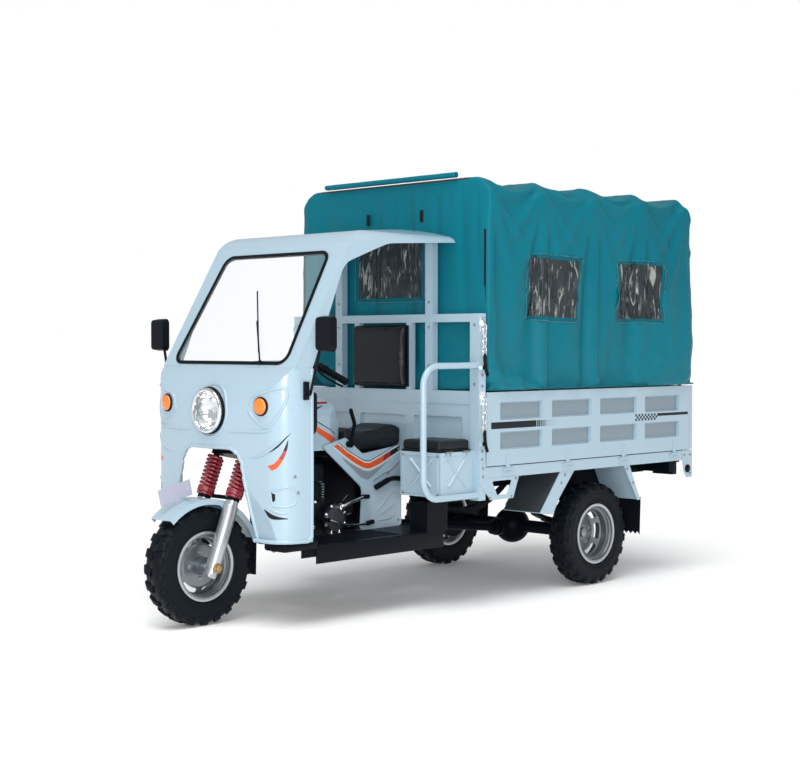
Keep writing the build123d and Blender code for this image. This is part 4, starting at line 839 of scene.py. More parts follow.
def cover_point(x, y, z):
    """A point of the plain box, brought in to the rounded shoulders."""
    dy, dz = abs(y) - (COVER_HALF - COVER_CORNER), z - (COVER_TOP - COVER_CORNER)
    if dy > 0 and dz > 0:
        scale = max(dy, dz) / math.hypot(dy, dz)
        y = math.copysign(COVER_HALF - COVER_CORNER + dy * scale, y)
        z = COVER_TOP - COVER_CORNER + dz * scale
    return Vector((x, y, z))


def cover_grid(step):
    half, low, high = SIDE_WINDOW
    end_half, end_low, end_high = END_WINDOW
    xs = ruled(
        [COVER_REAR, COVER_FRONT, *BOW_X] + [w + s * half for w in SIDE_WINDOW_X for s in (-1, 1)], step
    )
    ys = ruled([-COVER_HALF, -end_half, 0, end_half, COVER_HALF], step)
    zs = ruled([COVER_HEM, low, high, end_low, end_high, COVER_TOP], step)
    index, verts, faces, maps, kinds = {}, [], [], [], []

    def corner(x, y, z):
        key = (round(x, 5), round(y, 5), round(z, 5))
        if key not in index:
            index[key] = len(verts)
            verts.append(cover_point(x, y, z))
        return index[key]

    def panel(us, vs, place, flip, window):
        for u0, u1 in zip(us, us[1:]):
            for v0, v1 in zip(vs, vs[1:]):
                loop = [(u0, v0), (u1, v0), (u1, v1), (u0, v1)]
                if flip:
                    loop.reverse()
                faces.append(tuple(corner(*place(u, v)) for u, v in loop))
                maps.append(loop)
                kinds.append(window((u0 + u1) / 2, (v0 + v1) / 2))

    def side_window(name):
        def inside(u, v):
            for i, w in enumerate(SIDE_WINDOW_X):
                if abs(u - w) < half and low < v < high:
                    return f"{name}_{i}"
            return ""
        return inside

    def end_window(name):
        return lambda u, v: name if abs(u) < end_half and end_low < v < end_high else ""

    panel(xs, zs, lambda u, v: (u, COVER_HALF, v), True, side_window("left"))
    panel(xs, zs, lambda u, v: (u, -COVER_HALF, v), False, side_window("right"))
    panel(xs, ys, lambda u, v: (u, v, COVER_TOP), False, lambda u, v: "")
    panel(ys, zs, lambda u, v: (COVER_FRONT, u, v), False, end_window("front"))
    panel(ys, zs, lambda u, v: (COVER_REAR, u, v), True, end_window("rear"))
    return verts, faces, maps, kinds


def soften_edges(verts, faces):
    """Rounds the cover's front and rear edges, where the ends meet the top and the sides."""
    near = {}
    for face in faces:
        for a, b in zip(face, face[1:] + face[:1]):
            near.setdefault(a, set()).add(b)
            near.setdefault(b, set()).add(a)
    for turn in range(3):
        fresh = {}
        for i, v in enumerate(verts):
            edge = min(COVER_FRONT - v.x, v.x - COVER_REAR)
            rim = max(abs(v.y) - COVER_HALF, v.z - COVER_TOP) + SOFT_EDGE
            if edge < SOFT_EDGE and rim > 0 and v.z > COVER_HEM + 0.001:
                middle = sum((verts[k] for k in near[i]), Vector()) / len(near[i])
                fresh[i] = v.lerp(middle, 0.5)
        for i, v in fresh.items():
            verts[i] = v
    return verts


def held_weight(v):
    """How firmly the hoops, the ridge bar and the hem ties hold a point of the cover."""
    bow = min(abs(v.x - b) for b in BOW_X)
    if bow < BOW_GRIP and v.z > COVER_TOP - BOW_GRIP_DROP:
        return 1.0
    if v.z < COVER_HEM + 0.002:
        along = v.x if abs(v.y) > COVER_HALF - 0.01 else v.y
        tie = abs((along / TIE_STEP) % 1 - 0.5)
        corner = abs(v.y) > COVER_HALF - 0.02 and (v.x > COVER_FRONT - 0.02 or v.x < COVER_REAR + 0.02)
        return 1.0 if tie > TIE_EDGE or corner else HEM_HOLD
    return 0.0


def wrinkle(v):
    """A small fixed unevenness, so that the cloth folds where it likes."""
    a = math.sin(v.x * 23.1 + v.z * 17.7) * math.sin(v.y * 19.3 + v.z * 11.9 + 0.7)
    b = math.sin(v.x * 51.7 - v.z * 43.1 + 1.3) * math.sin(v.y * 47.9 + v.x * 13.3)
    fold = 0.0
    drop = COVER_TOP - 0.03 - v.z
    if abs(v.y) > COVER_HALF - 0.02 and drop > 0:
        fade = max(0.0, 1 - drop / CREASE_REACH) * min(1.0, drop / 0.10)
        for bow in BOW_X:
            for lean in CREASE_LEANS:
                fold += fade * math.exp(-(((v.x - bow - lean * drop) / CREASE_HALF) ** 2))
        low = max(0.0, 1 - (v.z - COVER_HEM) / 0.45) * min(1.0, (v.z - COVER_HEM) / 0.05)
        fold += 0.55 * low * math.sin(v.x * 31.0 + 2.0 * math.sin(v.x * 5.3))
    return 0.0035 * a + 0.0015 * b + CREASE_RISE * fold


def run_cloth(obj, settings, frames):
    modifier = obj.modifiers.new("Cloth", "CLOTH")
    for label, value in settings.items():
        owner = modifier.collision_settings if label.startswith("use_") and "coll" in label else modifier.settings
        if label == "gravity":
            owner.effector_weights.gravity = value
        else:
            setattr(owner, label, value)
    modifier.point_cache.frame_start = 1
    modifier.point_cache.frame_end = frames
    scene = bpy.context.scene
    for number in range(1, frames + 1):
        scene.frame_set(number)
    depsgraph = bpy.context.evaluated_depsgraph_get()
    shape = obj.evaluated_get(depsgraph)
    places = [v.co.copy() for v in shape.data.vertices]
    obj.modifiers.remove(modifier)
    scene.frame_set(1)
    return places


def hung(verts, faces):
    start = [v.copy() for v in verts]
    weights = [held_weight(v) for v in start]
    mesh = mesh_of("cover_cloth", verts, faces)
    normals = [v.normal.copy() for v in mesh.vertices]
    rough = [v + n * wrinkle(v) * (1 - w) for v, n, w in zip(start, normals, weights)]
    for v, place in zip(mesh.vertices, rough):
        v.co = place
    obj = placed("cover_cloth", mesh)
    group = obj.vertex_groups.new(name="held")
    for i, weight in enumerate(weights):
        if weight:
            group.add([i], weight, "REPLACE")
    places = run_cloth(obj, {
        "quality": 6, "mass": 0.35, "tension_stiffness": 28.0, "compression_stiffness": 22.0,
        "shear_stiffness": 9.0, "bending_stiffness": 0.9, "air_damping": 2.2, "vertex_group_mass": "held",
        "shrink_min": -sizes().slack, "pin_stiffness": 1.0, "use_self_collision": False, "use_collision": False,
    }, COVER_FRAMES)
    bpy.data.objects.remove(obj)
    bpy.data.meshes.remove(mesh)
    return places


def kept_in(start, place):
    """Keeps the cloth near its hoops, off the cab and above the gates."""
    shift = place - start
    if shift.length > COVER_SHIFT:
        shift *= COVER_SHIFT / shift.length
    v = start + shift
    v.x = min(max(v.x, COVER_REAR - REAR_ROOM), COVER_FRONT + FRONT_ROOM)
    v.y = min(max(v.y, -COVER_HALF - SIDE_ROOM), COVER_HALF + SIDE_ROOM)
    v.z = min(max(v.z, COVER_HEM - 0.001), COVER_TOP + TOP_ROOM)
    bow = min(abs(v.x - b) for b in BOW_X)
    if bow < BOW_NEAR and abs(start.y) > COVER_HALF - 0.02:
        v.y = math.copysign(max(abs(v.y), COVER_HALF - 0.001), v.y)
    if start.z > COVER_TOP - 0.01:
        v.z = max(v.z, COVER_TOP - 0.002 - TOP_SAG * min(1.0, bow / SAG_RUN))
    return v


def cut_sheet(name, verts, faces, maps):
    """A mesh of the chosen faces alone, with the cloth's own map in metres."""
    used, places, loops = {}, [], []
    for face in faces:
        for i in face:
            if i not in used:
                used[i] = len(places)
                places.append(verts[i])
        loops.append(tuple(used[i] for i in face))
    mesh = mesh_of(name, places, loops)
    layer = mesh.uv_layers.new(name="cut")
    flat = [point for loop in maps for point in loop]
    for i, point in enumerate(flat):
        layer.data[i].uv = point
    return mesh


def in_order(ahead):
    """The points of a closed edge, in order, given the next one of each."""
    chain = [next(iter(ahead))]
    while ahead[chain[-1]] != chain[0]:
        chain.append(ahead[chain[-1]])
    return chain


def border_loop(mesh):
    """The outer edge of a small sheet, in order, with the normals there."""
    bm = bmesh.new()
    bm.from_mesh(mesh)
    edges = [e for e in bm.edges if e.is_boundary]
    ahead = {}
    for edge in edges:
        loop = edge.link_loops[0]
        ahead[loop.vert] = loop.link_loop_next.vert
    line = [(v.co.copy(), v.normal.copy()) for v in in_order(ahead)]
    bm.free()
    return line


def welt(line, width, proud):
    """A flat band along a closed line, lying on the cloth."""
    count = len(line)
    middle = sum((p for p, n in line), Vector()) / count
    verts, faces = [], []
    for i, (point, normal) in enumerate(line):
        ahead = (line[(i + 1) % count][0] - line[i - 1][0]).normalized()
        side = ahead.cross(normal).normalized()
        if side.dot(point - middle) < 0:
            side = -side
        for reach, lift in ((-0.4, 0.3), (-0.3, 1.0), (0.5, 1.0), (0.6, 0.3)):
            verts.append(point + side * width * reach + normal * proud * lift)
    for i in range(count):
        a, b = i * 4, ((i + 1) % count) * 4
        for k in range(3):
            faces.append((a + k, a + k + 1, b + k + 1, b + k))
    mesh = mesh_of("welt", verts, faces)
    if sum(p.normal.dot(line[0][1]) for p in mesh.polygons) < 0:
        mesh.flip_normals()
    return mesh


def stitch_spots(line, step, lift, inset):
    """Evenly spaced places along a line, each facing the way the thread runs."""
    spots, carry = [], 0.0
    count = len(line)
    middle = sum((p for p, n in line), Vector()) / count
    for i in range(count):
        (a, na), (b, nb) = line[i], line[(i + 1) % count]
        run = (b - a).length
        while carry < run:
            t = carry / run
            point = a.lerp(b, t)
            side = (b - a).cross(na).normalized()
            if side.dot(point - middle) < 0:
                side = -side
            spots.append((point + side * inset + na.lerp(nb, t) * lift, b - a))
            carry += step
        carry -= run
    return spots


def stitch_unit(length, radius):
    profile = [(-0.5, 0.2), (-0.4, 0.9), (0.0, 1.0), (0.4, 0.9), (0.5, 0.2)]
    return tube([(0, 0, length * t) for t, r in profile], [radius * r for t, r in profile], 6)


class DressCanopy(bpy.types.Operator):
    """Canopy cloth on its hoops, with film windows, welts, stitches and the rolled flap"""
    bl_idname = "trike.canopy"
    bl_label = "Canopy"

    def execute(self, context):
        verts, faces, maps, kinds = cover_grid(sizes().mesh)
        verts = soften_edges(verts, faces)
        places = [kept_in(a, b) for a, b in zip(verts, hung(verts, faces))]
        cloth = [i for i, kind in enumerate(kinds) if not kind]
        mesh = cut_sheet("canopy_cloth", places, [faces[i] for i in cloth], [maps[i] for i in cloth])
        cover = piece("canopy_cloth", mesh, "chassis", "tarpaulin", 180)
        thickened(cover, "Cloth thickness", CLOTH_THICKNESS)
        finer(cover, "Finer cloth")
        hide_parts("canopy")
        names = sorted(set(kinds) - {""})
        panes, bands, spots = [], [], []
        for name in names:
            chosen = [i for i, kind in enumerate(kinds) if kind == name]
            pane = cut_sheet("pane", places, [faces[i] for i in chosen], [maps[i] for i in chosen])
            line = border_loop(pane)
            bands.append(welt(line, WELT_WIDTH, WELT_RISE))
            spots += stitch_spots(line, STITCH_STEP, STITCH_LIFT, STITCH_INSET)
            panes.append(pane)
        film = piece("window_film", joined("window_film", panes), "chassis", "film", 180)
        thickened(film, "Film thickness", FILM_THICKNESS)
        finer(film, "Finer film")
        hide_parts("canopy_windows")
        band = piece("window_welts", joined("welts", bands), "chassis", "seam", 50)
        seams = on_points(stitch_unit(STITCH_LENGTH, STITCH_RADIUS), spots, "thread")
        thread = piece("window_stitches", seams, "chassis", "thread", 180)
        hem = piece("canopy_hem", self.hem(places, faces), "chassis", "seam", 60)
        straps = piece("canopy_straps", self.straps(), "chassis", "webbing", 40)
        self.roll()
        return {"FINISHED"}

    def hem(self, places, faces):
        """The hem's doubled edge with its cord inside, all the way round."""
        ahead = {}
        for face in faces:
            for a, b in zip(face, face[1:] + face[:1]):
                ahead[(a, b)] = True
        edge = {a: b for a, b in ahead if (b, a) not in ahead}
        line = [places[i] for i in in_order(edge)]
        return tube(raised(line, HEM_LIFT), HEM_RADIUS, 8, closed=True)

    def straps(self):
        """Two short webbing straps on the front of the canopy."""
        made = []
        for y in STRAP_YS:
            inner, outer = y - STRAP_HALF, y + STRAP_HALF
            outline = [
                (STRAP_X, inner, STRAP_LOW), (STRAP_X, outer, STRAP_LOW),
                (STRAP_X, outer, STRAP_HIGH), (STRAP_X, inner, STRAP_HIGH),
            ]
            made.append(plate(outline, (0.003, 0, 0), 0.0008))
        return joined("straps", made)

    def roll(self):
        """The front flap, rolled up along the top edge."""
        low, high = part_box("canopy_roll")
        centre = (low + high) / 2
        radius = (high.x - low.x) / 2 - 0.001
        turns, steps, rows = 2.6, 92, 60
        verts, faces, length = [], [], 0.0
        spiral = []
        for i in range(steps + 1):
            t = i / steps
            r = radius * (0.42 + 0.58 * t)
            a = 2 * math.pi * turns * t + 0.6
            spiral.append((r * math.cos(a), r * math.sin(a)))
        for a, b in zip(spiral, spiral[1:]):
            length += math.hypot(b[0] - a[0], b[1] - a[1])
        for k in range(rows + 1):
            y = low.y + (high.y - low.y) * k / rows
            swell = 1 - 0.05 * (0.5 + 0.5 * math.sin(k * 0.9)) * (0.5 + 0.5 * math.sin(k * 0.37 + 1))
            for x, z in spiral:
                verts.append((centre.x + x * swell, y, centre.z + z * swell))
        row = steps + 1
        for k in range(rows):
            for i in range(steps):
                a = k * row + i
                faces.append((a, a + 1, a + row + 1, a + row))
        mesh = mesh_of("rolled_flap", verts, faces)
        layer = mesh.uv_layers.new(name="cut")
        for loop in mesh.loops:
            v = mesh.vertices[loop.vertex_index].co
            layer.data[loop.index].uv = (v.y, (loop.vertex_index % row) / steps * length)
        roll = piece("rolled_flap", mesh, "chassis", "tarpaulin", 180)
        thickened(roll, "Cloth thickness", FLAP_THICKNESS)
        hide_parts("canopy_roll")


# Pads

def puffed(mesh, cap, pressure, frames, voxel=0.006, relax=2):
    """Stuffs a closed form: finer mesh, cloth under pressure, and a limit on how far it swells."""
    obj = placed("pad", mesh)
    remesh = obj.modifiers.new("Remesh", "REMESH")
    remesh.mode = "VOXEL"
    remesh.voxel_size = voxel
    easing = obj.modifiers.new("Smooth", "SMOOTH")
    easing.iterations = relax
    depsgraph = bpy.context.evaluated_depsgraph_get()
    fine = bpy.data.meshes.new_from_object(obj.evaluated_get(depsgraph))
    bpy.data.objects.remove(obj)
    start = [v.co.copy() for v in fine.vertices]
    obj = placed("pad", fine)
    places = run_cloth(obj, {
        "quality": 5, "mass": 0.3, "tension_stiffness": 15.0, "compression_stiffness": 15.0,
        "bending_stiffness": 0.4, "use_pressure": True, "uniform_pressure_force": pressure, "gravity": 0.0,
        "use_self_collision": False, "use_collision": False,
    }, frames)
    bpy.data.objects.remove(obj)
    for v, a, b in zip(fine.vertices, start, places):
        shift = b - a
        if shift.length > cap:
            shift *= cap / shift.length
        v.co = a + shift
    fine.update()
    return fine


def pad_piece(name, mesh, body, node):
    pad = piece(name, mesh, body, "vinyl", 180)
    finer(pad, "Finer cover")
    if node:
        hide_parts(node)
    return pad


def node_copy(node, shrink):
    """A merged copy of a CAD node, brought in a little from all sides."""
    mesh = frame["nodes"][node].data.copy()
    outward(mesh, 0.0001)
    low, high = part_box(node)
    centre = (low + high) / 2
    size = high - low
    for v in mesh.vertices:
        for k in range(3):
            v.co[k] = centre[k] + (v.co[k] - centre[k]) * (1 - 2 * shrink / size[k])
    return mesh


class DressPads(bpy.types.Operator):
    """Saddle, backrest and the two padded box lids, stuffed, with piping round the lids"""
    bl_idname = "trike.pads"
    bl_label = "Saddle and pads"

    def execute(self, context):
        pad_piece("saddle_cover", puffed(node_copy("saddle", 0.005), 0.007, 3.0, 14), "chassis", "saddle")
        self.backrest()
        for side, name in ((1, "left"), (-1, "right")):
            self.lid(side, name)
        return {"FINISHED"}

    def backrest(self):
        low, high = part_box("backrest")
        board = rounded_block(
            (low.x, low.y + 0.006, low.z + 0.006), (low.x + 0.010, high.y - 0.006, high.z - 0.006), 0.004,
        )
        pad = rounded_block(
            (low.x + 0.011, low.y + 0.007, low.z + 0.007), (high.x - 0.008, high.y - 0.007, high.z - 0.007), 0.013,
            4,
        )
        cover = pad_piece("backrest_pad", puffed(pad, 0.009, 4.0, 16, 0.005), "chassis", "backrest")
        piece("backrest_board", board, "chassis", "black_plastic")
        return cover

    def lid(self, side, name):
        body, node = f"{name}_lid", f"seat_lid_{name}"
        low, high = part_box(node)
        inner, outer = (low.y, high.y) if side > 0 else (-high.y, -low.y)
        base = low.z + 0.008
        pad_outer = outer - 0.022
        pad = rounded_block(
            (low.x + 0.004, inner + 0.004, base + 0.005), (high.x - 0.004, pad_outer - 0.002, high.z - 0.004),
            0.010, 4,
        )
        board = rounded_block(
            (low.x + 0.002, inner + 0.002, low.z + 0.001), (high.x - 0.002, pad_outer, base + 0.004), 0.002, 2,
        )
        pad, board = sided(pad, side), sided(board, side)
        cover = pad_piece(f"seat_pad_{name}", puffed(pad, 0.0035, 4.0, 16, 0.005), body, node)
        piece(f"seat_board_{name}", board, body, "black_plastic")
        hinge = []
        for x in (low.x + 0.055, high.x - 0.055):
            hinge.append(tube([(x - 0.022, 0.666, 0.803), (x + 0.022, 0.666, 0.803)], 0.0058, 14))
            hinge.append(rounded_block(
                (x - 0.020, pad_outer - 0.03, low.z + 0.0005), (x + 0.020, 0.664, low.z + 0.003), 0.001, 1,
            ))
        leaf = sided(joined("lid_hinge", hinge), side)
        piece(f"seat_hinge_{name}", leaf, body, "steel")
        z = base + 0.006
        line = [
            (low.x + 0.012, inner + 0.006, z), (high.x - 0.012, inner + 0.006, z),
            (high.x - 0.005, inner + 0.012, z), (high.x - 0.005, pad_outer - 0.012, z),
            (high.x - 0.012, pad_outer - 0.005, z), (low.x + 0.012, pad_outer - 0.005, z),
            (low.x + 0.005, pad_outer - 0.012, z), (low.x + 0.005, inner + 0.012, z),
        ]
        cord = sided(tube(line, 0.0032, 8, closed=True), side)
        piece(f"seat_piping_{name}", cord, body, "vinyl", 60)
        return cover


# Wheels and springs

FRONT_HUB = Vector((1.436, 0.0, 0.284))
REAR_HUBS = {"rear_left": Vector((-0.884, 0.555, 0.284)), "rear_right": Vector((-0.884, -0.555, 0.284))}
RAKE = math.radians(21.5)
FORK = Matrix((
    (math.cos(RAKE), 0, -math.sin(RAKE), FRONT_HUB.x),
    (0, 1, 0, 0),
    (math.sin(RAKE), 0, math.cos(RAKE), FRONT_HUB.z),
    (0, 0, 0, 1),
))
FORK_HALF = 0.110
SPRING_FOOT, SPRING_TIGHT, SPRING_HEAD = 0.351, 0.381, 0.5545
SPRING_WIRE, SPRING_RADIUS, TIGHT_TURNS = 0.0084, 0.0348, 3.0
SIDE_RIBS, RIB_RADIUS, RIB_Y, RIB_LEAN = 132, 0.1905, 0.0622, 0.24
SIDEWALL = [
    (0.0526, 0.1532), (0.0530, 0.1600), (0.0532, 0.1690), (0.0560, 0.1740), (0.0590, 0.1790), (0.0604, 0.1795),
    (0.0612, 0.1830), (0.0606, 0.1850), (0.0640, 0.2000), (0.0654, 0.2140), (0.0658, 0.2230), (0.0654, 0.2330),
    (0.0645, 0.2400), (0.0652, 0.2415), (0.0650, 0.2450), (0.0634, 0.2465), (0.0606, 0.2560), (0.0560, 0.2650),
    (0.0470, 0.2710), (0.0300, 0.2732), (0.0100, 0.2742),
]


def lug_unit(mirror):
    """One tread lug, from the middle of the tread over the shoulder."""
    stations = [
        (0.0030, 0.2815, 0.0135, 0.022), (0.0075, 0.2836, 0.0120, 0.029), (0.0260, 0.2836, 0.0050, 0.033),
        (0.0440, 0.2818, -0.0020, 0.037), (0.0545, 0.2780, -0.0050, 0.040), (0.0625, 0.2680, -0.0070, 0.040),
        (0.0655, 0.2550, -0.0080, 0.034), (0.0650, 0.2480, -0.0080, 0.026),
    ]
    verts, faces = [], []
    for y, r, shift, length in stations:
        in_y, in_r = y * 0.82, r - 0.014
        for dx, py, pr in ((-0.56, in_y, in_r), (-0.5, y, r), (0.5, y, r), (0.56, in_y, in_r)):
            verts.append((shift + dx * length, py, pr))
    for i in range(len(stations) - 1):
        a, b = i * 4, (i + 1) * 4
        for k in range(4):
            n = (k + 1) % 4
            faces.append((a + k, a + n, b + n, b + k))
    last = (len(stations) - 1) * 4
    faces.append((0, 1, 2, 3))
    faces.append((last + 3, last + 2, last + 1, last))
    mesh = mesh_of("lug", verts, faces)
    if mirror:
        mesh.transform(MIRROR)
    outward(mesh)
    bm = bmesh.new()
    bm.from_mesh(mesh)
    edges = [e for e in bm.edges if e.calc_face_angle(0) > 0.6]
    bmesh.ops.bevel(bm, geom=edges, offset=0.0014, segments=1, affect="EDGES")
    bm.to_mesh(mesh)
    bm.free()
    return mesh


class DressTyres(bpy.types.Operator):
    """Tyres with ribbed sidewalls and a ring of lugs on each shoulder"""
    bl_idname = "trike.tyres"
    bl_label = "Tyres"

    def execute(self, context):
        wheels = {"front": (FRONT_HUB, "front_wheel")}
        wheels.update({name: (hub, f"{name}_wheel") for name, hub in REAR_HUBS.items()})
        for name, (hub, body) in wheels.items():
            finish = FINISHES["tyre"]
            full = SIDEWALL + [(-y, r) for y, r in reversed(SIDEWALL)]
            parts = [lathe(full, (0, 0, 0), (0, 1, 0), 96)]
            count = sizes().lugs
            parts.append(grown("turn", lug_unit(False), Count=count, Start=0.0, Finish=finish))
            parts.append(grown("turn", lug_unit(True), Count=count, Start=math.pi / count, Finish=finish))
            for side in (1, -1):
                rib = rounded_block((-0.0007, -0.0012, -0.004), (0.0007, 0.0012, 0.004), 0.0004, 1)
                lean = Matrix.Rotation(-side * RIB_LEAN, 4, "X")
                moved(rib, Matrix.Translation((0, side * RIB_Y, RIB_RADIUS)) @ lean)
                parts.append(grown("turn", rib, Count=SIDE_RIBS, Start=0.0, Finish=finish))
            mesh = moved(joined("tyre", parts), Matrix.Translation(hub))
            tyre = piece(f"{name}_tread_tyre", mesh, body, "tyre", 40)
            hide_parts(f"{name}_tyre")
        return {"FINISHED"}


class DressSprings(bpy.types.Operator):
    """Red wire springs on the fork, with their collars"""
    bl_idname = "trike.springs"
    bl_label = "Fork springs"

    def execute(self, context):
        finish = FINISHES["red_paint"]
        parts = []
        low, wire = SPRING_FOOT, SPRING_WIRE
        runs = (
            (low + wire, SPRING_TIGHT, TIGHT_TURNS),
            (SPRING_TIGHT, SPRING_HEAD - wire, sizes().turns),
        )
        for start, end, turns in runs:
            coil = grown(
                "coil", bpy.data.meshes.new("wire"), Turns=turns, Radius=SPRING_RADIUS, Wire=wire,
                Height=end - start, Finish=finish,
            )
            parts.append(moved(coil, Matrix.Translation((0, 0, start))))
        parts.append(lathe(
            [
                (low - 0.0055, 0.0156), (low - 0.0055, 0.0390), (low - 0.004, 0.0408), (low + 0.004, 0.0408),
                (low + 0.0055, 0.0392), (low + 0.0055, 0.0156),
            ],
            (0, 0, 0), (0, 0, 1), 40,
        ))
        unit = joined("spring", parts)
        both = joined("springs", [copied(unit, Matrix.Translation((0, y, 0))) for y in (FORK_HALF, -FORK_HALF)])
        moved(both, FORK)
        springs = piece("fork_wire_springs", both, "steering", "red_paint", 60)
        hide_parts("fork_springs")
        return {"FINISHED"}


# Trim laid on the body

def walked(line, share):
    """The point at a share of the length of a line."""
    line = [Vector(p) for p in line]
    runs = [(line[i + 1] - line[i]).length for i in range(len(line) - 1)]
    want = share * sum(runs)
    for i, run in enumerate(runs):
        if want <= run or i == len(runs) - 1:
            return line[i].lerp(line[i + 1], min(want / run, 1) if run else 0)
        want -= run


def part_of(line, start, end, steps=10):
    return [walked(line, start + (end - start) * i / steps) for i in range(steps + 1)]


def laid(surface, point, aim, proud):
    """The place where a line of sight through a point meets a surface, lifted off it."""
    hit, normal, index, reach = surface.ray_cast(point - aim * 0.3, aim)
    if hit is None:
        hit, normal, index, reach = surface.find_nearest(point)
    if normal.dot(aim) > 0:
        normal = -normal
    return hit + normal * proud, normal


def band(surface, upper, lower, aim, proud=0.0007, columns=24, rows=2):
    """A film band between two edge lines on a surface, with a back, for stripes and for painted shade bands."""
    aim = Vector(aim).normalized()
    verts, faces = [], []
    for lift in (proud, proud - 0.0012):
        for i in range(columns + 1):
            a, b = walked(upper, i / columns), walked(lower, i / columns)
            verts += [laid(surface, a.lerp(b, k / rows), aim, lift)[0] for k in range(rows + 1)]
    wide, half = rows + 1, (columns + 1) * (rows + 1)
    for base in (0, half):
        for i in range(columns):
            for k in range(rows):
                a = base + i * wide + k
                faces.append((a, a + 1, a + wide + 1, a + wide))
    for i in range(columns):
        for a in (i * wide, i * wide + rows):
            faces.append((a, a + wide, a + wide + half, a + half))
    for k in range(rows):
        for a in (k, columns * wide + k):
            faces.append((a, a + 1, a + 1 + half, a + half))
    return outward(mesh_of("band", verts, faces))


def bead(surface, points, aim, radius, closed=False, taper=False, sink=0.35):
    """A rounded ridge along a line on a surface."""
    aim = Vector(aim).normalized()
    line = curved(list(points) + ([points[0]] if closed else []), 6)
    if closed:
        line.pop()
    spots = [laid(surface, p, aim, -sink * radius)[0] for p in line]
    last = len(spots) - 1
    radii = [radius * (0.15 + 0.85 * math.sin(math.pi * i / last)) for i in range(last + 1)] if taper else radius
    return tube(spots, radii, 8, closed)


def metres(points):
    return [Vector(p) / 1000 for p in points]


def on_side(points, y):
    return [Vector((x / 1000, y, z / 1000)) for x, z in points]


def bolt_unit(size):
    """A hexagon bolt head on its washer, standing on Z = 0."""
    washer = lathe([(-0.001, 0.0002), (-0.001, 1.5 * size), (0.2 * size, 1.5 * size), (0.26 * size, 1.4 * size),
                    (0.26 * size, 0.0002)], (0, 0, 0), (0, 0, 1), 20)
    head = lathe([(0.1 * size, 0.0002), (0.1 * size, size), (0.8 * size, size), (0.95 * size, 0.82 * size),
                  (0.95 * size, 0.0002)], (0, 0, 0), (0, 0, 1), 6)
    return joined("bolt", [washer, head])


def seated(surface, places, aim):
    """Places on a surface under the points given, each with the way it faces."""
    aim = Vector(aim).normalized()
    spots = []
    for place in places:
        hit, normal = laid(surface, Vector(place), aim, 0.0)
        spots.append((hit, normal))
    return spots


def ring(profile, centre, axis, steps=48):
    return lathe(list(profile) + [profile[0]], centre, axis, steps)


# Lamps

LAMP = Vector((1.366, 0.0, 1.024))
TURN = Vector((1.3452, 0.356, 1.052))
TURN_FACING = Vector((math.cos(math.radians(6.5)), math.sin(math.radians(6.5)), 0))


class DressLamps(bpy.types.Operator):
    """Headlamp bowl and bezel, turn lamps with their rims, tail lamp lenses"""
    bl_idname = "trike.lamps"
    bl_label = "Lamps"

    def execute(self, context):
        forward = (1, 0, 0)
        bowl = [
            (-0.078, 0.012), (-0.072, 0.032), (-0.058, 0.056), (-0.036, 0.077), (-0.012, 0.090), (0.001, 0.0942),
        ]
        back = [(x - 0.0015, r + 0.001) for x, r in reversed(bowl)]
        piece("headlamp_bowl", ring(bowl + back, LAMP, forward, 64), "chassis", "chrome", 60)
        flutes = []
        for i in range(9):
            y = (i - 4) * 0.018
            half = math.sqrt(0.088 ** 2 - y * y)
            flutes.append(tube([LAMP + Vector((-0.0005, y, -half)), LAMP + Vector((-0.0005, y, half))], 0.0016, 8))
        piece("headlamp_flutes", joined("flutes", flutes), "chassis", "glass", 60)
        bulb = lathe(
            [
                (-0.080, 0.0002), (-0.080, 0.012), (-0.050, 0.012), (-0.040, 0.016), (-0.026, 0.015),
                (-0.018, 0.0002),
            ],
            LAMP, forward, 24,
        )
        piece("headlamp_bulb", bulb, "chassis", "lamp_white", 60)
        bezel = [
            (0.011, 0.1070), (0.013, 0.1095), (0.020, 0.1098), (0.025, 0.1060), (0.0265, 0.1005), (0.0250, 0.0945),
            (0.0205, 0.0922), (0.0205, 0.1035), (0.0125, 0.1062),
        ]
        piece("headlamp_bezel", ring(bezel, LAMP, forward, 72), "chassis", "chrome", 40)
        gasket = [(-0.003, 0.1064), (-0.003, 0.1150), (0.005, 0.1140), (0.0108, 0.1085), (0.0108, 0.1064)]
        piece("headlamp_gasket", ring(gasket, LAMP, forward, 64), "chassis", "rubber", 40)
        self.turn_lamps()
        self.tail_lamps()
        return {"FINISHED"}

    def turn_lamps(self):
        dome = [
            (0.0003, 0.0002), (0.0003, 0.0392), (0.0090, 0.0390), (0.0140, 0.0360), (0.0185, 0.0270),
            (0.0208, 0.0140), (0.0214, 0.0002),
        ]
        rim = [
            (-0.002, 0.0388), (-0.002, 0.0455), (0.003, 0.0452), (0.0075, 0.0425), (0.0080, 0.0396),
            (0.0040, 0.0388),
        ]
        lens = lathe(dome, TURN, TURN_FACING, 40)
        lenses = pair("turn_lenses", [lens], "amber", 50)
        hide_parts("turn_lamps")
        pair("turn_rims", [ring(rim, TURN, TURN_FACING, 40)], "black_plastic", 40)

    def tail_lamps(self):
        low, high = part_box("tail_lamps")
        lenses = []
        for y0, y1 in ((0.455, 0.516), (0.520, 0.585)):
            lenses.append(rounded_block((low.x - 0.003, y0, 0.572), (low.x + 0.004, y1, 0.635), 0.003, 2))
        pair("tail_lenses", lenses, "red_lens", 40)


# Stripes and painted shade

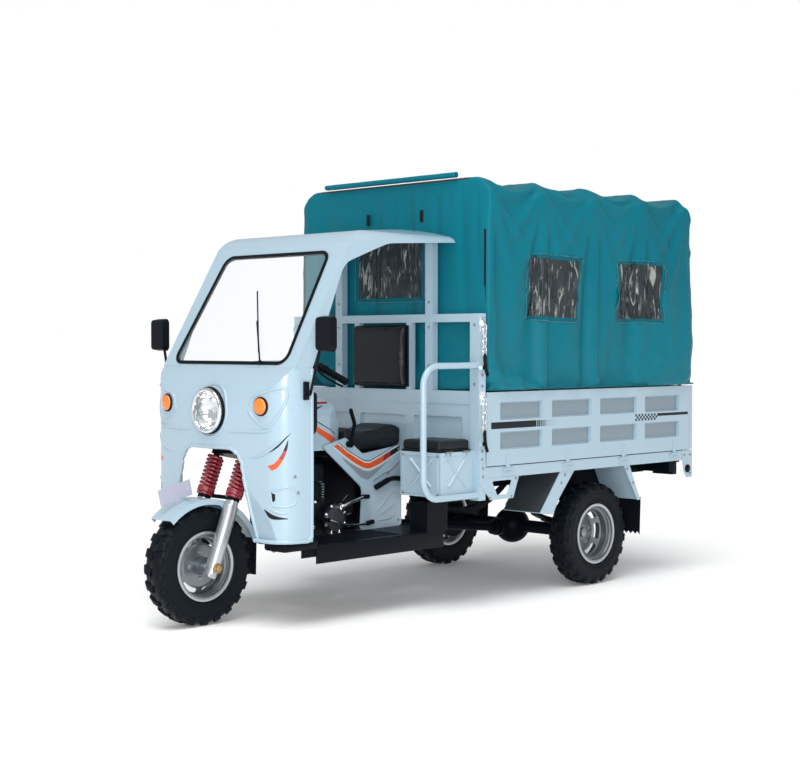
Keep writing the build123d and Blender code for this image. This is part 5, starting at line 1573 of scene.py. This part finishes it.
LEFT_AIM, FRONT_AIM, CORNER_AIM = (0, -1, 0), (-1, 0, 0), (-0.75, -0.65, 0)
PANEL_Y, TANK_Y, TANK_TOP_Y = 0.1545, 0.138, 0.128
GATE_FACE, PRESSING_FACE = 0.7004, 0.6820
PRESSING_X, PRESSING_Z = (-1.3945, -0.9735, -0.5525, -0.1315), (1.0002, 0.8480)
PRESSING_HALF, PRESSING_RISE = 0.1655, 0.0400
DOT_START, DOT_FOOT, DOT_STEP, DOT_RISE, DOT_HALF = -0.262, 0.916, 0.015, 0.011, 0.0062
CHEQUER_START, CHEQUER_FOOT, CHEQUER_STEP, CHEQUER_RISE = -1.130, 0.908, 0.0152, 0.0125


def raised(line, rise):
    return [p + UP * rise for p in line]


class LayStripes(bpy.types.Operator):
    """Plain stripes on the side panels, tank, fairing and gates, with painted shade bands on the panels and fairing
    and painted shade plates in the gate pressings
    """
    bl_idname = "trike.stripes"
    bl_label = "Stripes"

    def lay(self, name, mesh, finish, body="chassis", mirrored=True):
        if mirrored:
            mesh = both_sides(name, mesh)
        piece(name, mesh, body, finish, 30)

    def execute(self, context):
        self.panel()
        self.tank()
        self.fairing()
        for side, body in ((1, "left_gate"), (-1, "right_gate")):
            self.gate(side, body)
        return {"FINISHED"}

    def panel(self):
        surface = surface_of("side_panels")
        upper = on_side(
            [(664, 835), (599, 792), (528, 755), (478, 731), (440, 727), (363, 754), (278, 787), (216, 810)],
            PANEL_Y,
        )
        lower = on_side(
            [(694, 826), (629, 782), (549, 734), (480, 703), (440, 697), (363, 720), (279, 757), (216, 784)],
            PANEL_Y,
        )
        runs = (("stripe", 0.0, 0.74), ("stripe_deep", 0.74, 0.85), ("stripe_dark", 0.85, 1.0))
        for finish, start, end in runs:
            mesh = band(surface, part_of(upper, start, end), part_of(lower, start, end), LEFT_AIM, columns=30)
            self.lay("panel_" + finish, mesh, finish)
        edges = []
        for line, shift in ((upper, 0.0075), (lower, -0.0085)):
            edges.append(band(surface, line, raised(line, shift), LEFT_AIM, 0.0006, 40, 1))
        self.lay("panel_edges", joined("edges", edges), "stripe_white")
        thin = raised(upper, 0.0095)
        dark = band(surface, thin, raised(thin, 0.0035), LEFT_AIM, 0.0008, 40, 1)
        low = on_side([(415, 630), (332, 665), (300, 674)], PANEL_Y)
        dark = joined("dark", [dark, band(surface, low, raised(low, 0.003), LEFT_AIM, 0.0008, 16, 1)])
        self.lay("panel_lines", dark, "stripe_dark")
        red = on_side([(318, 657), (270, 684), (216, 722)], PANEL_Y)
        self.lay("panel_red_line", band(surface, red, raised(red, 0.0055), LEFT_AIM, 0.0008, 16, 1), "stripe_deep")
        # Painted shade: a grey band below the stripe, standing in for the shade on the panel there.
        shade = on_side([(640, 770), (549, 720), (480, 690), (440, 684), (363, 706), (300, 735)], PANEL_Y)
        foot = on_side([(612, 742), (549, 694), (500, 655), (452, 640), (400, 668), (320, 722)], PANEL_Y)
        self.lay("panel_shade", band(surface, shade, foot, LEFT_AIM, 0.0005, 30), "grey_stripe_and_painted_shade")

    def tank(self):
        surface = surface_of("fuel_tank")
        upper = on_side([(905, 984), (829, 949), (752, 910), (650, 862)], TANK_Y)
        lower = on_side([(905, 957), (829, 922), (771, 887), (690, 842)], TANK_Y)
        self.lay("tank_stripe", band(surface, upper, lower, LEFT_AIM), "stripe")
        thin = on_side([(905, 1006), (829, 970), (732, 923), (655, 884)], TANK_Y)
        lines = [band(surface, thin, raised(thin, 0.005), LEFT_AIM, 0.0008, 24, 1)]
        slant = on_side([(860, 980), (790, 1012), (731, 1030)], TANK_TOP_Y)
        lines.append(band(
            surface, slant, on_side([(860, 988), (800, 1020), (731, 1032)], TANK_TOP_Y), LEFT_AIM, 0.0008, 12, 1,
        ))
        self.lay("tank_lines", joined("lines", lines), "stripe_dark")
        top = metres([(830, 100, 1046), (783, 98, 1049), (690, 97, 1050)])
        self.lay(
            "tank_top_stripe", band(surface, top, [p + Vector((0, 0.010, -0.008)) for p in top], (0, -0.7, -0.7)),
            "stripe_deep",
        )

    def fairing(self):
        surface = surface_of("fairing")
        aim = CORNER_AIM
        outer = metres([(1285, 481, 899), (1291, 478, 853), (1305, 466, 807), (1323, 444, 769), (1334, 421, 755)])
        inner = metres([(1289, 479, 894), (1301, 469, 857), (1314, 455, 820), (1330, 431, 789), (1340, 396, 777)])
        outer, inner = curved(outer), curved(inner)
        runs = (("stripe_dark", 0.0, 0.3), ("stripe_deep", 0.3, 0.55), ("stripe", 0.55, 1.0))
        for finish, start, end in runs:
            mesh = band(surface, part_of(outer, start, end), part_of(inner, start, end), aim)
            self.lay("fairing_" + finish, mesh, finish)
        # Painted shade: a dark wedge inside the hexagon ridge and dark bands just under the lower ridge and the
        # crease ridge, standing in for the shade these ridges cast.
        wedge = band(
            surface, metres([(1336, 414, 653), (1334, 421, 607)]), metres([(1327, 436, 646), (1327, 436, 618)]),
            aim, columns=8,
        )
        leaf = band(surface, curved(metres([(1343, 374, 575), (1328, 435, 547), (1287, 480, 534)])),
                    curved(metres([(1343, 376, 570), (1336, 416, 532), (1287, 480, 531)])), aim, 0.0008)
        crease = band(surface, curved(metres([(1345, 356, 822), (1327, 436, 871), (1276, 487, 930)])),
                      curved(metres([(1345, 356, 820), (1325, 441, 858), (1276, 487, 928)])), aim, 0.0006)
        self.lay("fairing_shades", joined("shades", [wedge, leaf, crease]), "stripe_dark")

    def gate(self, side, body):
        """A dark bar that breaks up into squares, a chequer and a thin line, on the flat between the pressings, and
        painted shade in the pressings.
        """
        dark, grey, face = [], [], GATE_FACE

        def mark(parts, x0, x1, z0, z1):
            parts.append(plate([(x0, face, z0), (x1, face, z0), (x1, face, z1), (x0, face, z1)], (0, -0.0010, 0)))

        mark(dark, 0.110, -0.250, 0.910, 0.944)
        for i in range(12):
            half = DOT_HALF * (1 - i / 14)
            for k in range(3):
                x, z = DOT_START - DOT_STEP * i, DOT_FOOT + DOT_RISE * k
                mark(dark if i < 5 else grey, x + half, x - half, z - half * 0.8, z + half * 0.8)
        for i in range(14):
            for k in range(3):
                if (i + k) % 2 == 0:
                    x, z = CHEQUER_START - CHEQUER_STEP * i, CHEQUER_FOOT + CHEQUER_RISE * k
                    mark(dark, x, x - CHEQUER_STEP, z, z + CHEQUER_RISE)
        mark(dark, -1.345, -1.655, 0.9290, 0.9450)
        # Painted shade: a darker blue-grey plate in each pressing, standing in for the shade in the hollows.
        shade = []
        for x in PRESSING_X:
            for z in PRESSING_Z:
                low = (x - PRESSING_HALF, PRESSING_FACE, z - PRESSING_RISE)
                high = (x + PRESSING_HALF, PRESSING_FACE + 0.0016, z + PRESSING_RISE)
                shade.append(rounded_block(low, high, 0.0007, 1))
        for name, parts, finish in (("gate_bar", dark, "stripe_dark"), ("gate_dots", grey, "grey_stripe_and_painted_shade"),
                                          ("gate_shades", shade, "recess")):
            mesh = sided(joined(name, parts), side)
            self.lay(f"{body}_{name}", mesh, finish, body, False)


# Body trim

PANEL_INSIDE = [(745, 826), (612, 858), (492, 768), (210, 802), (210, 392), (496, 392), (480, 600)]


class DressBody(bpy.types.Operator):
    """Rolled lips and ridges of the fairing, box pressings, floor ribs, mirror glass and reflectors, and painted
    shade on the mudguards' front faces
    """
    bl_idname = "trike.body"
    bl_label = "Body trim"

    def execute(self, context):
        self.fairing()
        self.panels()
        self.boxes()
        self.floor()
        self.mudguards()
        self.mirrors()
        self.tail()
        return {"FINISHED"}

    def fairing(self):
        surface = surface_of("fairing")
        arch = [(1300, 0, 849)]
        for turn in range(0, 91, 15):
            a = math.radians(turn)
            arch.append((1300, 132 + 90 * math.sin(a), 758 + 92 * math.cos(a)))
        arch += [(1300, 247, 700), (1300, 274, 580), (1300, 308, 428)]
        ridges = [bead(surface, metres(arch), FRONT_AIM, 0.0100, sink=0.2)]
        foot = [
            (1345, 308, 423), (1334, 400, 423), (1313, 452, 423), (1275, 484, 423), (1220, 499, 423),
            (1176, 499, 423), (1158, 499, 440),
        ]
        ridges.append(tube(curved(metres(foot)), 0.0100, 12))
        ridges.append(tube(
            metres([(1158, 499, 436), (1156, 499, 700), (1156, 499, 1000), (1156, 499, 1228)]), 0.0095, 12,
        ))
        loop = [
            (1352, 282, 1048), (1349, 319, 1100), (1320, 440, 1136), (1292, 476, 1128), (1300, 470, 1061),
            (1338, 408, 962), (1345, 350, 968), (1352, 284, 1020),
        ]
        ridges.append(bead(surface, metres(loop), CORNER_AIM, 0.0085, closed=True))
        ridges.append(bead(
            surface,
            metres([(1363, 118, 950), (1362, 160, 931), (1352, 300, 934), (1338, 400, 938), (1320, 446, 968)]),
            CORNER_AIM, 0.0095, taper=True,
        ))
        ridges.append(bead(
            surface, metres([(1355, 253, 807), (1345, 356, 824), (1327, 436, 873), (1276, 487, 932)]), CORNER_AIM,
            0.0100, taper=True,
        ))
        hexagon = [
            (1336, 412, 655), (1295, 475, 680), (1262, 493, 668), (1257, 494, 600), (1325, 440, 590),
            (1334, 420, 606),
        ]
        ridges.append(bead(surface, metres(hexagon), CORNER_AIM, 0.0060, closed=True))
        ridges.append(bead(
            surface, metres([(1342, 380, 584), (1320, 448, 562), (1275, 487, 556)]), CORNER_AIM, 0.0090, taper=True,
        ))
        collar = [
            LAMP + Vector((
                -0.004, 0.127 * math.cos(k * math.pi / 12), 0.127 * math.sin(k * math.pi / 12),
            )) for k in range(24)
        ]
        whole = both_sides("ridges", joined("ridges", ridges))
        whole = joined("fairing_lips", [whole, bead(surface, collar, FRONT_AIM, 0.0100, closed=True)])
        piece("fairing_lips", whole, "chassis", "white_paint", 60)

    def panels(self):
        surface = surface_of("side_panels")
        creases = (
            ((420, 452), (330, 520), (228, 590)), ((398, 440), (310, 478), (228, 512)),
            ((425, 424), (300, 430), (228, 456)),
        )
        parts = [bead(surface, on_side(line, PANEL_Y), LEFT_AIM, 0.0085, taper=True, sink=0.45) for line in creases]
        pair("panel_creases", parts, "white_paint", 60)
        liner = plate(on_side(PANEL_INSIDE, 0.1443), (0, -0.0015, 0))
        pair("panel_liners", [liner], "black_plastic")
        peg = [tube(
            curved(metres([(212, 181, 628), (270, 180, 640), (330, 179, 634), (415, 178, 602)])), 0.0125, 14,
        )]
        for i in range(11):
            spot = walked(metres([(330, 179, 634), (415, 178, 602)]), i / 10)
            peg.append(ring(
                [(-0.0018, 0.010), (-0.0018, 0.0145), (0.0018, 0.0145), (0.0018, 0.010)], spot, (-85, 1, 32), 16,
            ))
        peg.append(tube(metres([(240, 150, 634), (240, 182, 634)]), 0.010, 12))
        pair("folding_pegs", peg, "rubber", 40)

    def boxes(self):
        """A crossed and framed pressing on the front and on the outside of each box."""
        front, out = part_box("seat_boxes")[1].x - 0.001, 0.659
        faces = (
            (lambda across, z: (front, across, z), (0.455, 0.595), (0.402, 0.642)),
            (lambda across, z: (across, out, z), (0.262, 0.388), (0.218, 0.428)),
        )
        parts = []
        for spot, (a, b), (c, d) in faces:
            for z0, z1 in ((0.630, 0.765), (0.765, 0.630)):
                parts.append(tube([spot(a, z0), spot(b, z1)], 0.0085, 12))
            edge = [spot(c, 0.596), spot(d, 0.596), spot(d, 0.786), spot(c, 0.786)]
            parts.append(tube(edge, 0.004, 8, closed=True))
        pair("seat_box_pressings", parts, "white_paint", 50)

    def floor(self):
        ribs = []
        for k in range(9):
            y = 0.195 + 0.026 * k
            ribs.append(rounded_block((0.47, y - 0.004, 0.3845), (1.06, y + 0.004, 0.3880), 0.0014, 2))
        ribs.append(rounded_block((1.088, 0.318, 0.372), (1.300, 0.470, 0.4138), 0.014, 4))
        ribs.append(rounded_block((0.205, 0.4545, 0.300), (1.092, 0.4620, 0.3855), 0.0036, 3))
        pair("floor_ribs", ribs, "black_plastic", 40)

    def mudguards(self):
        """A dark grey plate over the mudguards' front faces: painted shade, for faces that stand in shadow."""
        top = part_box("rear_mudguards")[1].z - 0.004
        out = Vector((0.787, 0, 0.617))
        corners = [(-0.4590, 0.444, top), (-0.4590, 0.690, top), (-0.2920, 0.690, 0.453), (-0.2920, 0.444, 0.453)]
        face = plate([Vector(c) + out * 0.0016 for c in corners], out * -0.002)
        pair("mudguard_faces", [face], "grey_paint")

    def mirrors(self):
        low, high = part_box("mirrors")
        glass = rounded_block((low.x - 0.0012, 0.582, 1.315), (low.x + 0.001, 0.678, 1.465), 0.001, 1)
        rim = [(low.x, 0.580, 1.330), (low.x, 0.595, 1.314), (low.x, 0.665, 1.314), (low.x, 0.680, 1.330),
               (low.x, 0.680, 1.450), (low.x, 0.665, 1.466), (low.x, 0.595, 1.466), (low.x, 0.580, 1.450)]
        pair("mirror_glass", [glass], "mirror")
        base = rounded_block((1.180, 0.4995, 1.082), (1.212, 0.5140, 1.168), 0.005, 3)
        pair("mirror_rims", [tube(rim, 0.0035, 8, True), base],
              "black_plastic", 50)

    def tail(self):
        round_mark = lathe(
            [(-0.001, 0.0002), (-0.001, 0.024), (0.006, 0.023), (0.009, 0.019), (0.010, 0.0002)],
            (-1.652, 0.7003, 0.609), (0, 1, 0), 28,
        )
        pair("tail_reflectors", [round_mark], "black_plastic", 40)


# Fork and wheels

class DressWheels(bpy.types.Operator):
    """Rim lips, wheel nuts, fork lugs, seals and axle nuts"""
    bl_idname = "trike.wheels"
    bl_label = "Wheel and fork trim"

    def execute(self, context):
        lip = [
            (0.0530, 0.1540), (0.0582, 0.1545), (0.0600, 0.1600), (0.0596, 0.1670), (0.0575, 0.1684),
            (0.0530, 0.1672),
        ]
        step = [(0.0350, 0.1465), (0.0470, 0.1476), (0.0500, 0.1440), (0.0470, 0.1420), (0.0370, 0.1440)]
        for name, hub in {"front": FRONT_HUB, **REAR_HUBS}.items():
            sign = -1 if name == "rear_right" else 1
            parts = [ring([(y * side, r) for y, r in lip], hub, (0, 1, 0), 80) for side in (1, -1)]
            parts += [
                ring(
                    [(y * side, r) for y, r in step], hub, (0, 1, 0), 80,
                ) for side in ((1, -1) if name == "front" else (sign,))
            ]
            piece(f"{name}_rim_lips", joined("lips", parts), f"{name}_wheel", "alloy", 50)
            if name == "front":
                face, radius, count, size = 0.0142, 0.062, 4, 0.008
            else:
                face, radius, count, size = -0.0480, 0.068, 5, 0.0105
            spots = []
            for k in range(count):
                turn = 2 * math.pi * k / count
                spots.append((
                    hub + Vector((radius * math.sin(turn), sign * face, radius * math.cos(turn))), (0, sign, 0),
                ))
            nuts = on_points(bolt_unit(size), spots, "steel")
            if name != "front":
                cap = lathe(
                    [(-0.045, 0.0002), (-0.045, 0.030), (-0.022, 0.028), (-0.018, 0.022), (-0.018, 0.0002)],
                    (0, 0, 0), (0, sign, 0), 32,
                )
                nuts = joined("nuts", [nuts, moved(cap, Matrix.Translation(hub))])
            piece(f"{name}_wheel_nuts", nuts, f"{name}_wheel", "steel", 35)
        self.fork()
        return {"FINISHED"}

    def fork(self):
        seals, lugs, nuts, sleeves = [], [], [], []
        for side in (1, -1):
            y = FORK_HALF * side
            seals.append(ring(
                [
                    (0.330, 0.0298), (0.330, 0.0325), (0.343, 0.0325), (0.3455, 0.0300), (0.3455, 0.0200),
                    (0.330, 0.0200),
                ],
                (0, y, 0), (0, 0, 1), 36,
            ))
            lugs.append(rounded_block((-0.026, y - 0.019, -0.052), (0.026, y + 0.019, 0.006), 0.010, 4))
            lugs.append(ring(
                [(0.060, 0.0296), (0.060, 0.0318), (0.068, 0.0318), (0.068, 0.0296)], (0, y, 0), (0, 0, 1), 36,
            ))
            nuts.append(moved(
                bolt_unit(0.0165),
                Matrix.Translation((0, y + 0.0360 * side, 0)) @ Matrix.Rotation(-side * math.pi / 2, 4, "X"),
            ))
            sleeves.append(ring(
                [
                    (-0.004, 0.020), (-0.004, 0.0335), (0.004, 0.0355), (0.300, 0.0355), (0.308, 0.0335),
                    (0.308, 0.020),
                ],
                (0, y, 0), (0, 0, 1), 40,
            ))
        brace = tube([(-0.030, -0.112, 0.352), (-0.030, 0.112, 0.352)], 0.010, 14)
        for name, parts, slot, finish in (
            ("fork_seals", seals + [brace], "black_paint", "black_paint"),
            ("fork_lugs", lugs + sleeves, "alloy", "alloy"), ("axle_nuts", nuts, "steel", "brass"),
        ):
            piece(name, moved(joined(name, parts), FORK), "steering", finish, 40)


# Engine and controls

class DressEngine(bpy.types.Operator):
    """Engine bolts, levers and covers"""
    bl_idname = "trike.engine"
    bl_label = "Engine trim"

    def execute(self, context):
        surface = surface_of("engine")
        spots = []
        for k in range(8):
            turn = 2 * math.pi * (k + 0.5) / 8
            spots.append((0.665 + 0.070 * math.cos(turn), 0.15, 0.455 + 0.070 * math.sin(turn)))
        spots += [(0.780, 0.15, 0.420), (0.800, 0.15, 0.500), (0.770, 0.15, 0.545), (0.620, 0.15, 0.550)]
        bolts = on_points(bolt_unit(0.0060), seated(surface, spots, LEFT_AIM), "chrome")
        piece("engine_bolts", bolts, "chassis", "chrome", 35)
        levers = [tube(
            curved(metres([(640, 134, 512), (636, 162, 520), (570, 166, 540), (488, 166, 556)])), 0.0085, 14,
        )]
        levers.append(tube(
            curved(metres([(735, 134, 458), (728, 163, 455), (640, 166, 428), (560, 166, 416), (470, 166, 418)])),
            0.0065, 14,
        ))
        levers.append(ring(
            [(-0.012, 0.004), (-0.012, 0.018), (0.014, 0.017), (0.016, 0.004)], (0.638, 0.146, 0.514), (0, 1, 0),
            24,
        ))
        levers.append(ring(
            [(-0.012, 0.004), (-0.012, 0.015), (0.014, 0.014), (0.016, 0.004)], (0.735, 0.146, 0.458), (0, 1, 0),
            24,
        ))
        piece("engine_levers", joined("levers", levers), "chassis", "chrome", 50)
        tips = [
            tube(metres([(470, 166, 418), (425, 166, 424)]), 0.0120, 14),
            tube(metres([(488, 150, 556), (488, 196, 560)]), 0.0115, 14),
            tube(metres([(735, 166, 456), (790, 168, 470)]), 0.0105, 14),
        ]
        piece("lever_rubbers", joined("tips", tips), "chassis", "rubber", 50)
        cover = ring(
            [(0.134, 0.058), (0.1395, 0.062), (0.1420, 0.052), (0.1420, 0.002), (0.134, 0.002)], (0.665, 0, 0.455),
            (0, 1, 0), 40,
        )
        piece("engine_cover", cover, "chassis", "grey_paint", 40)
        return {"FINISHED"}


class DressControls(bpy.types.Operator):
    """Ribbed grips, hand levers and switch pods on the handlebar"""
    bl_idname = "trike.controls"
    bl_label = "Controls"

    def execute(self, context):
        start, end = Vector((0.867, 0.283, 1.215)), Vector((0.840, 0.405, 1.157))
        along = (end - start).normalized()
        ribs = []
        for k in range(15):
            spot = start.lerp(end, (k + 0.5) / 15)
            ribs.append(ring(
                [(-0.0022, 0.0150), (-0.0022, 0.0178), (0.0022, 0.0178), (0.0022, 0.0150)], spot, along, 18,
            ))
        ribs.append(ring([(-0.004, 0.0150), (-0.004, 0.0215), (0.002, 0.0215), (0.004, 0.0150)], start, along, 20))
        pair("grip_ribs", ribs, "rubber", 40, "steering")
        pod = lathe(
            [
                (-0.020, 0.0002), (-0.020, 0.0175), (-0.016, 0.0205), (0.014, 0.0205), (0.018, 0.0175),
                (0.018, 0.0002),
            ],
            start - along * 0.026, along, 20,
        )
        lever = tube(
            curved([
                (0.876, 0.262, 1.222), (0.905, 0.268, 1.214), (0.915, 0.320, 1.188), (0.897, 0.392, 1.152),
                (0.888, 0.425, 1.138),
            ]),
            0.0058, 12,
        )
        pair("hand_levers", [pod, lever], "black_plastic", 50, "steering")
        return {"FINISHED"}


class DressFittings(bpy.types.Operator):
    """Latch links and handles, a corner strap and the bolts of posts, brackets and panels"""
    bl_idname = "trike.fittings"
    bl_label = "Latches and bolts"

    def execute(self, context):
        links, handles = [], []
        for low, high in ((1.215, 1.478), (0.830, 1.104)):
            for z0, z1 in ((low + 0.060, low + 0.120), (low + 0.112, low + 0.172), (low + 0.164, high - 0.030)):
                line = [
                    (0.162, 0.7125, z0 + 0.012), (0.175, 0.7125, z0), (0.188, 0.7125, z0 + 0.012),
                    (0.188, 0.7125, z1 - 0.012), (0.175, 0.7125, z1), (0.162, 0.7125, z1 - 0.012),
                ]
                links.append(tube(line, 0.0036, 8, True))
            handles.append(tube(
                curved([
                    (0.178, 0.7150, low + 0.078), (0.180, 0.7190, low + 0.040), (0.174, 0.7200, low),
                    (0.160, 0.7190, low - 0.030),
                ]),
                0.0085, 12,
            ))
        pair("latch_links", links, "chrome", 50)
        pair("latch_handles", handles, "black_plastic", 40)
        strap = rounded_block((0.1345, 0.672, 1.505), (0.1365, 0.686, 1.925), 0.0008, 1)
        pair("corner_straps", [strap], "webbing")
        self.bolts()
        return {"FINISHED"}

    def bolts(self):
        """Bolt heads on the left side, by the part they sit on, and their mirror images."""
        rows = (
            ("fairing", CORNER_AIM, ((1257, 495, 727), (1239, 498, 651))),
            ("side_panels", LEFT_AIM, ((226, 154.5, 416), (640, 154.5, 815), (226, 154.5, 790))),
            ("side_brackets", LEFT_AIM, (
                (172, 700, 715), (172, 700, 672), (120, 700, 560), (-50, 700, 560),
                (-85, 700, 650), (-1620, 700, 690), (-1680, 700, 690), (-1680, 700, 580),
            )),
            ("headboard_frame", FRONT_AIM, (
                (250, 340, 1430), (250, 340, 1230), (250, 340, 1560), (250, 666, 1440), (250, 666, 1140),
            )),
            ("headboard_frame", LEFT_AIM, (
                (175, 720, 1130), (175, 720, 1185), (175, 720, 800), (175, 720, 760),
            )),
            ("rear_mudguards", LEFT_AIM, (
                (-500, 700, 640), (-470, 700, 600), (-1062, 700, 640), (-1120, 700, 560),
            )),
            ("seat_boxes", FRONT_AIM, (
                (500, 402, 596), (500, 642, 596), (500, 402, 786), (500, 642, 786),
            )),
        )
        spots = []
        for node, aim, places in rows:
            spots += seated(surface_of(node), metres(places), aim)
        heads = on_points(bolt_unit(0.0052), spots, "steel")
        pair("body_bolts", [heads], "steel", 35)


# Stage

CAMERA_YAW, CAMERA_PITCH = math.radians(44.409), math.radians(1.640)
CAMERA_PLACE = Vector((5.9524, 5.7755, 1.3410))
CAMERA_LENS = 1524.5 * 36.0 / 800.0


class SetStage(bpy.types.Operator):
    """Camera at the photograph's angle, pale floor and soft studio light"""
    bl_idname = "trike.stage"
    bl_label = "Stage"

    def execute(self, context):
        scene = context.scene
        scene.view_settings.view_transform = "Standard"
        camera = bpy.data.cameras.new("Photo camera")
        camera.sensor_width = 36.0
        camera.lens = CAMERA_LENS
        camera.clip_end = 200
        holder = placed("Photo camera", camera)
        look = Vector((
            -math.cos(CAMERA_YAW) * math.cos(CAMERA_PITCH), -math.sin(CAMERA_YAW) * math.cos(CAMERA_PITCH),
            -math.sin(CAMERA_PITCH),
        ))
        side = Vector((-math.sin(CAMERA_YAW), math.cos(CAMERA_YAW), 0))
        rise = side.cross(look)
        holder.matrix_world = Matrix((
            (side.x, rise.x, -look.x, CAMERA_PLACE.x), (side.y, rise.y, -look.y, CAMERA_PLACE.y),
            (side.z, rise.z, -look.z, CAMERA_PLACE.z), (0, 0, 0, 1),
        ))
        scene.camera = holder
        self.floor()
        self.lights(scene)
        return {"FINISHED"}

    def floor(self):
        reach = 90
        mesh = mesh_of(
            "studio_floor", [(-reach, -reach, 0), (reach, -reach, 0), (reach, reach, 0), (-reach, reach, 0)],
            [(0, 1, 2, 3)],
        )
        floor = placed("studio_floor", mesh)
        material, tree, shader = new_material("Floor_white")
        tinted = effect(material, "tone", Colour=(0.97, 0.97, 0.97), Scale=0.6, Amount=0.012)
        wire(tree, tinted, "Colour", shader, "Base Color")
        set_values(
            shader, Roughness=0.9, Specular_IOR_Level=0.0, Emission_Color=(1, 1, 1, 1), Emission_Strength=0.06,
        )
        mesh.materials.append(material)

    def lights(self, scene):
        world = bpy.data.worlds.new("Studio")
        world.use_nodes = True
        tree = world.node_tree
        back = tree.nodes["Background"]
        set_values(back, Color=(1, 1, 1, 1))
        path = tree.nodes.new("ShaderNodeLightPath")
        seen = tree.nodes.new("ShaderNodeMapRange")
        set_values(seen, To_Min=sizes().sky, To_Max=1.0)
        wire(tree, path, "Is Camera Ray", seen, "Value")
        wire(tree, seen, "Result", back, "Strength")
        scene.world = world
        self.sun("High soft light", sizes().daylight, 36, (0.55, 0.35, 1.6))
        self.panel("Front panel", 22, (3.2, 2.6, 3.8), (1.2, 0.2, 0.9), 1.4)
        self.panel("Fill panel", 160, (4.9, 5.0, 1.9), (0.4, 0.2, 1.0), 2.2)

    def sun(self, name, strength, spread, towards):
        light = bpy.data.lights.new(name, "SUN")
        light.energy = strength
        light.angle = math.radians(spread)
        holder = placed(name, light)
        holder.rotation_euler = Vector(towards).to_track_quat("Z", "Y").to_euler()

    def panel(self, name, power, place, target, size):
        light = bpy.data.lights.new(name, "AREA")
        light.energy = power
        light.size = size
        holder = placed(name, light)
        place = Vector(place)
        holder.location = place
        holder.rotation_euler = (place - Vector(target)).to_track_quat("Z", "Y").to_euler()


class PaintParts(bpy.types.Operator):
    """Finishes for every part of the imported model"""
    bl_idname = "trike.finishes"
    bl_label = "Finishes"

    def execute(self, context):
        make_finishes()
        paint_nodes()
        return {"FINISHED"}


OPERATORS = [
    PaintParts, SetStage, DressTyres, DressSprings, DressCanopy, DressPads, DressLamps, LayStripes, DressBody,
    DressWheels, DressEngine, DressControls, DressFittings,
]


class TrikePanel(bpy.types.Panel):
    """Lists the pieces of the tricycle and the sizes behind them"""
    bl_idname = "VIEW3D_PT_trike"
    bl_label = "Tricycle"
    bl_space_type = "VIEW_3D"
    bl_region_type = "UI"
    bl_category = "Tricycle"

    def draw(self, context):
        for group in (context.scene.trike_colours, context.scene.trike_sizes):
            for name in group.__annotations__:
                self.layout.prop(group, name)
        for operator in OPERATORS:
            self.layout.operator(operator.bl_idname)


def register():
    for kind in (TrikeColours, TrikeSizes, *OPERATORS, TrikePanel):
        bpy.utils.register_class(kind)
    bpy.types.Scene.trike_colours = PointerProperty(type=TrikeColours)
    bpy.types.Scene.trike_sizes = PointerProperty(type=TrikeSizes)


def unregister():
    del bpy.types.Scene.trike_sizes
    del bpy.types.Scene.trike_colours
    for kind in (TrikePanel, *reversed(OPERATORS), TrikeSizes, TrikeColours):
        bpy.utils.unregister_class(kind)


def main():
    register()
    for operator in OPERATORS:
        group, name = operator.bl_idname.split(".")
        getattr(getattr(bpy.ops, group), name)()


if __name__ == "__main__":
    main()
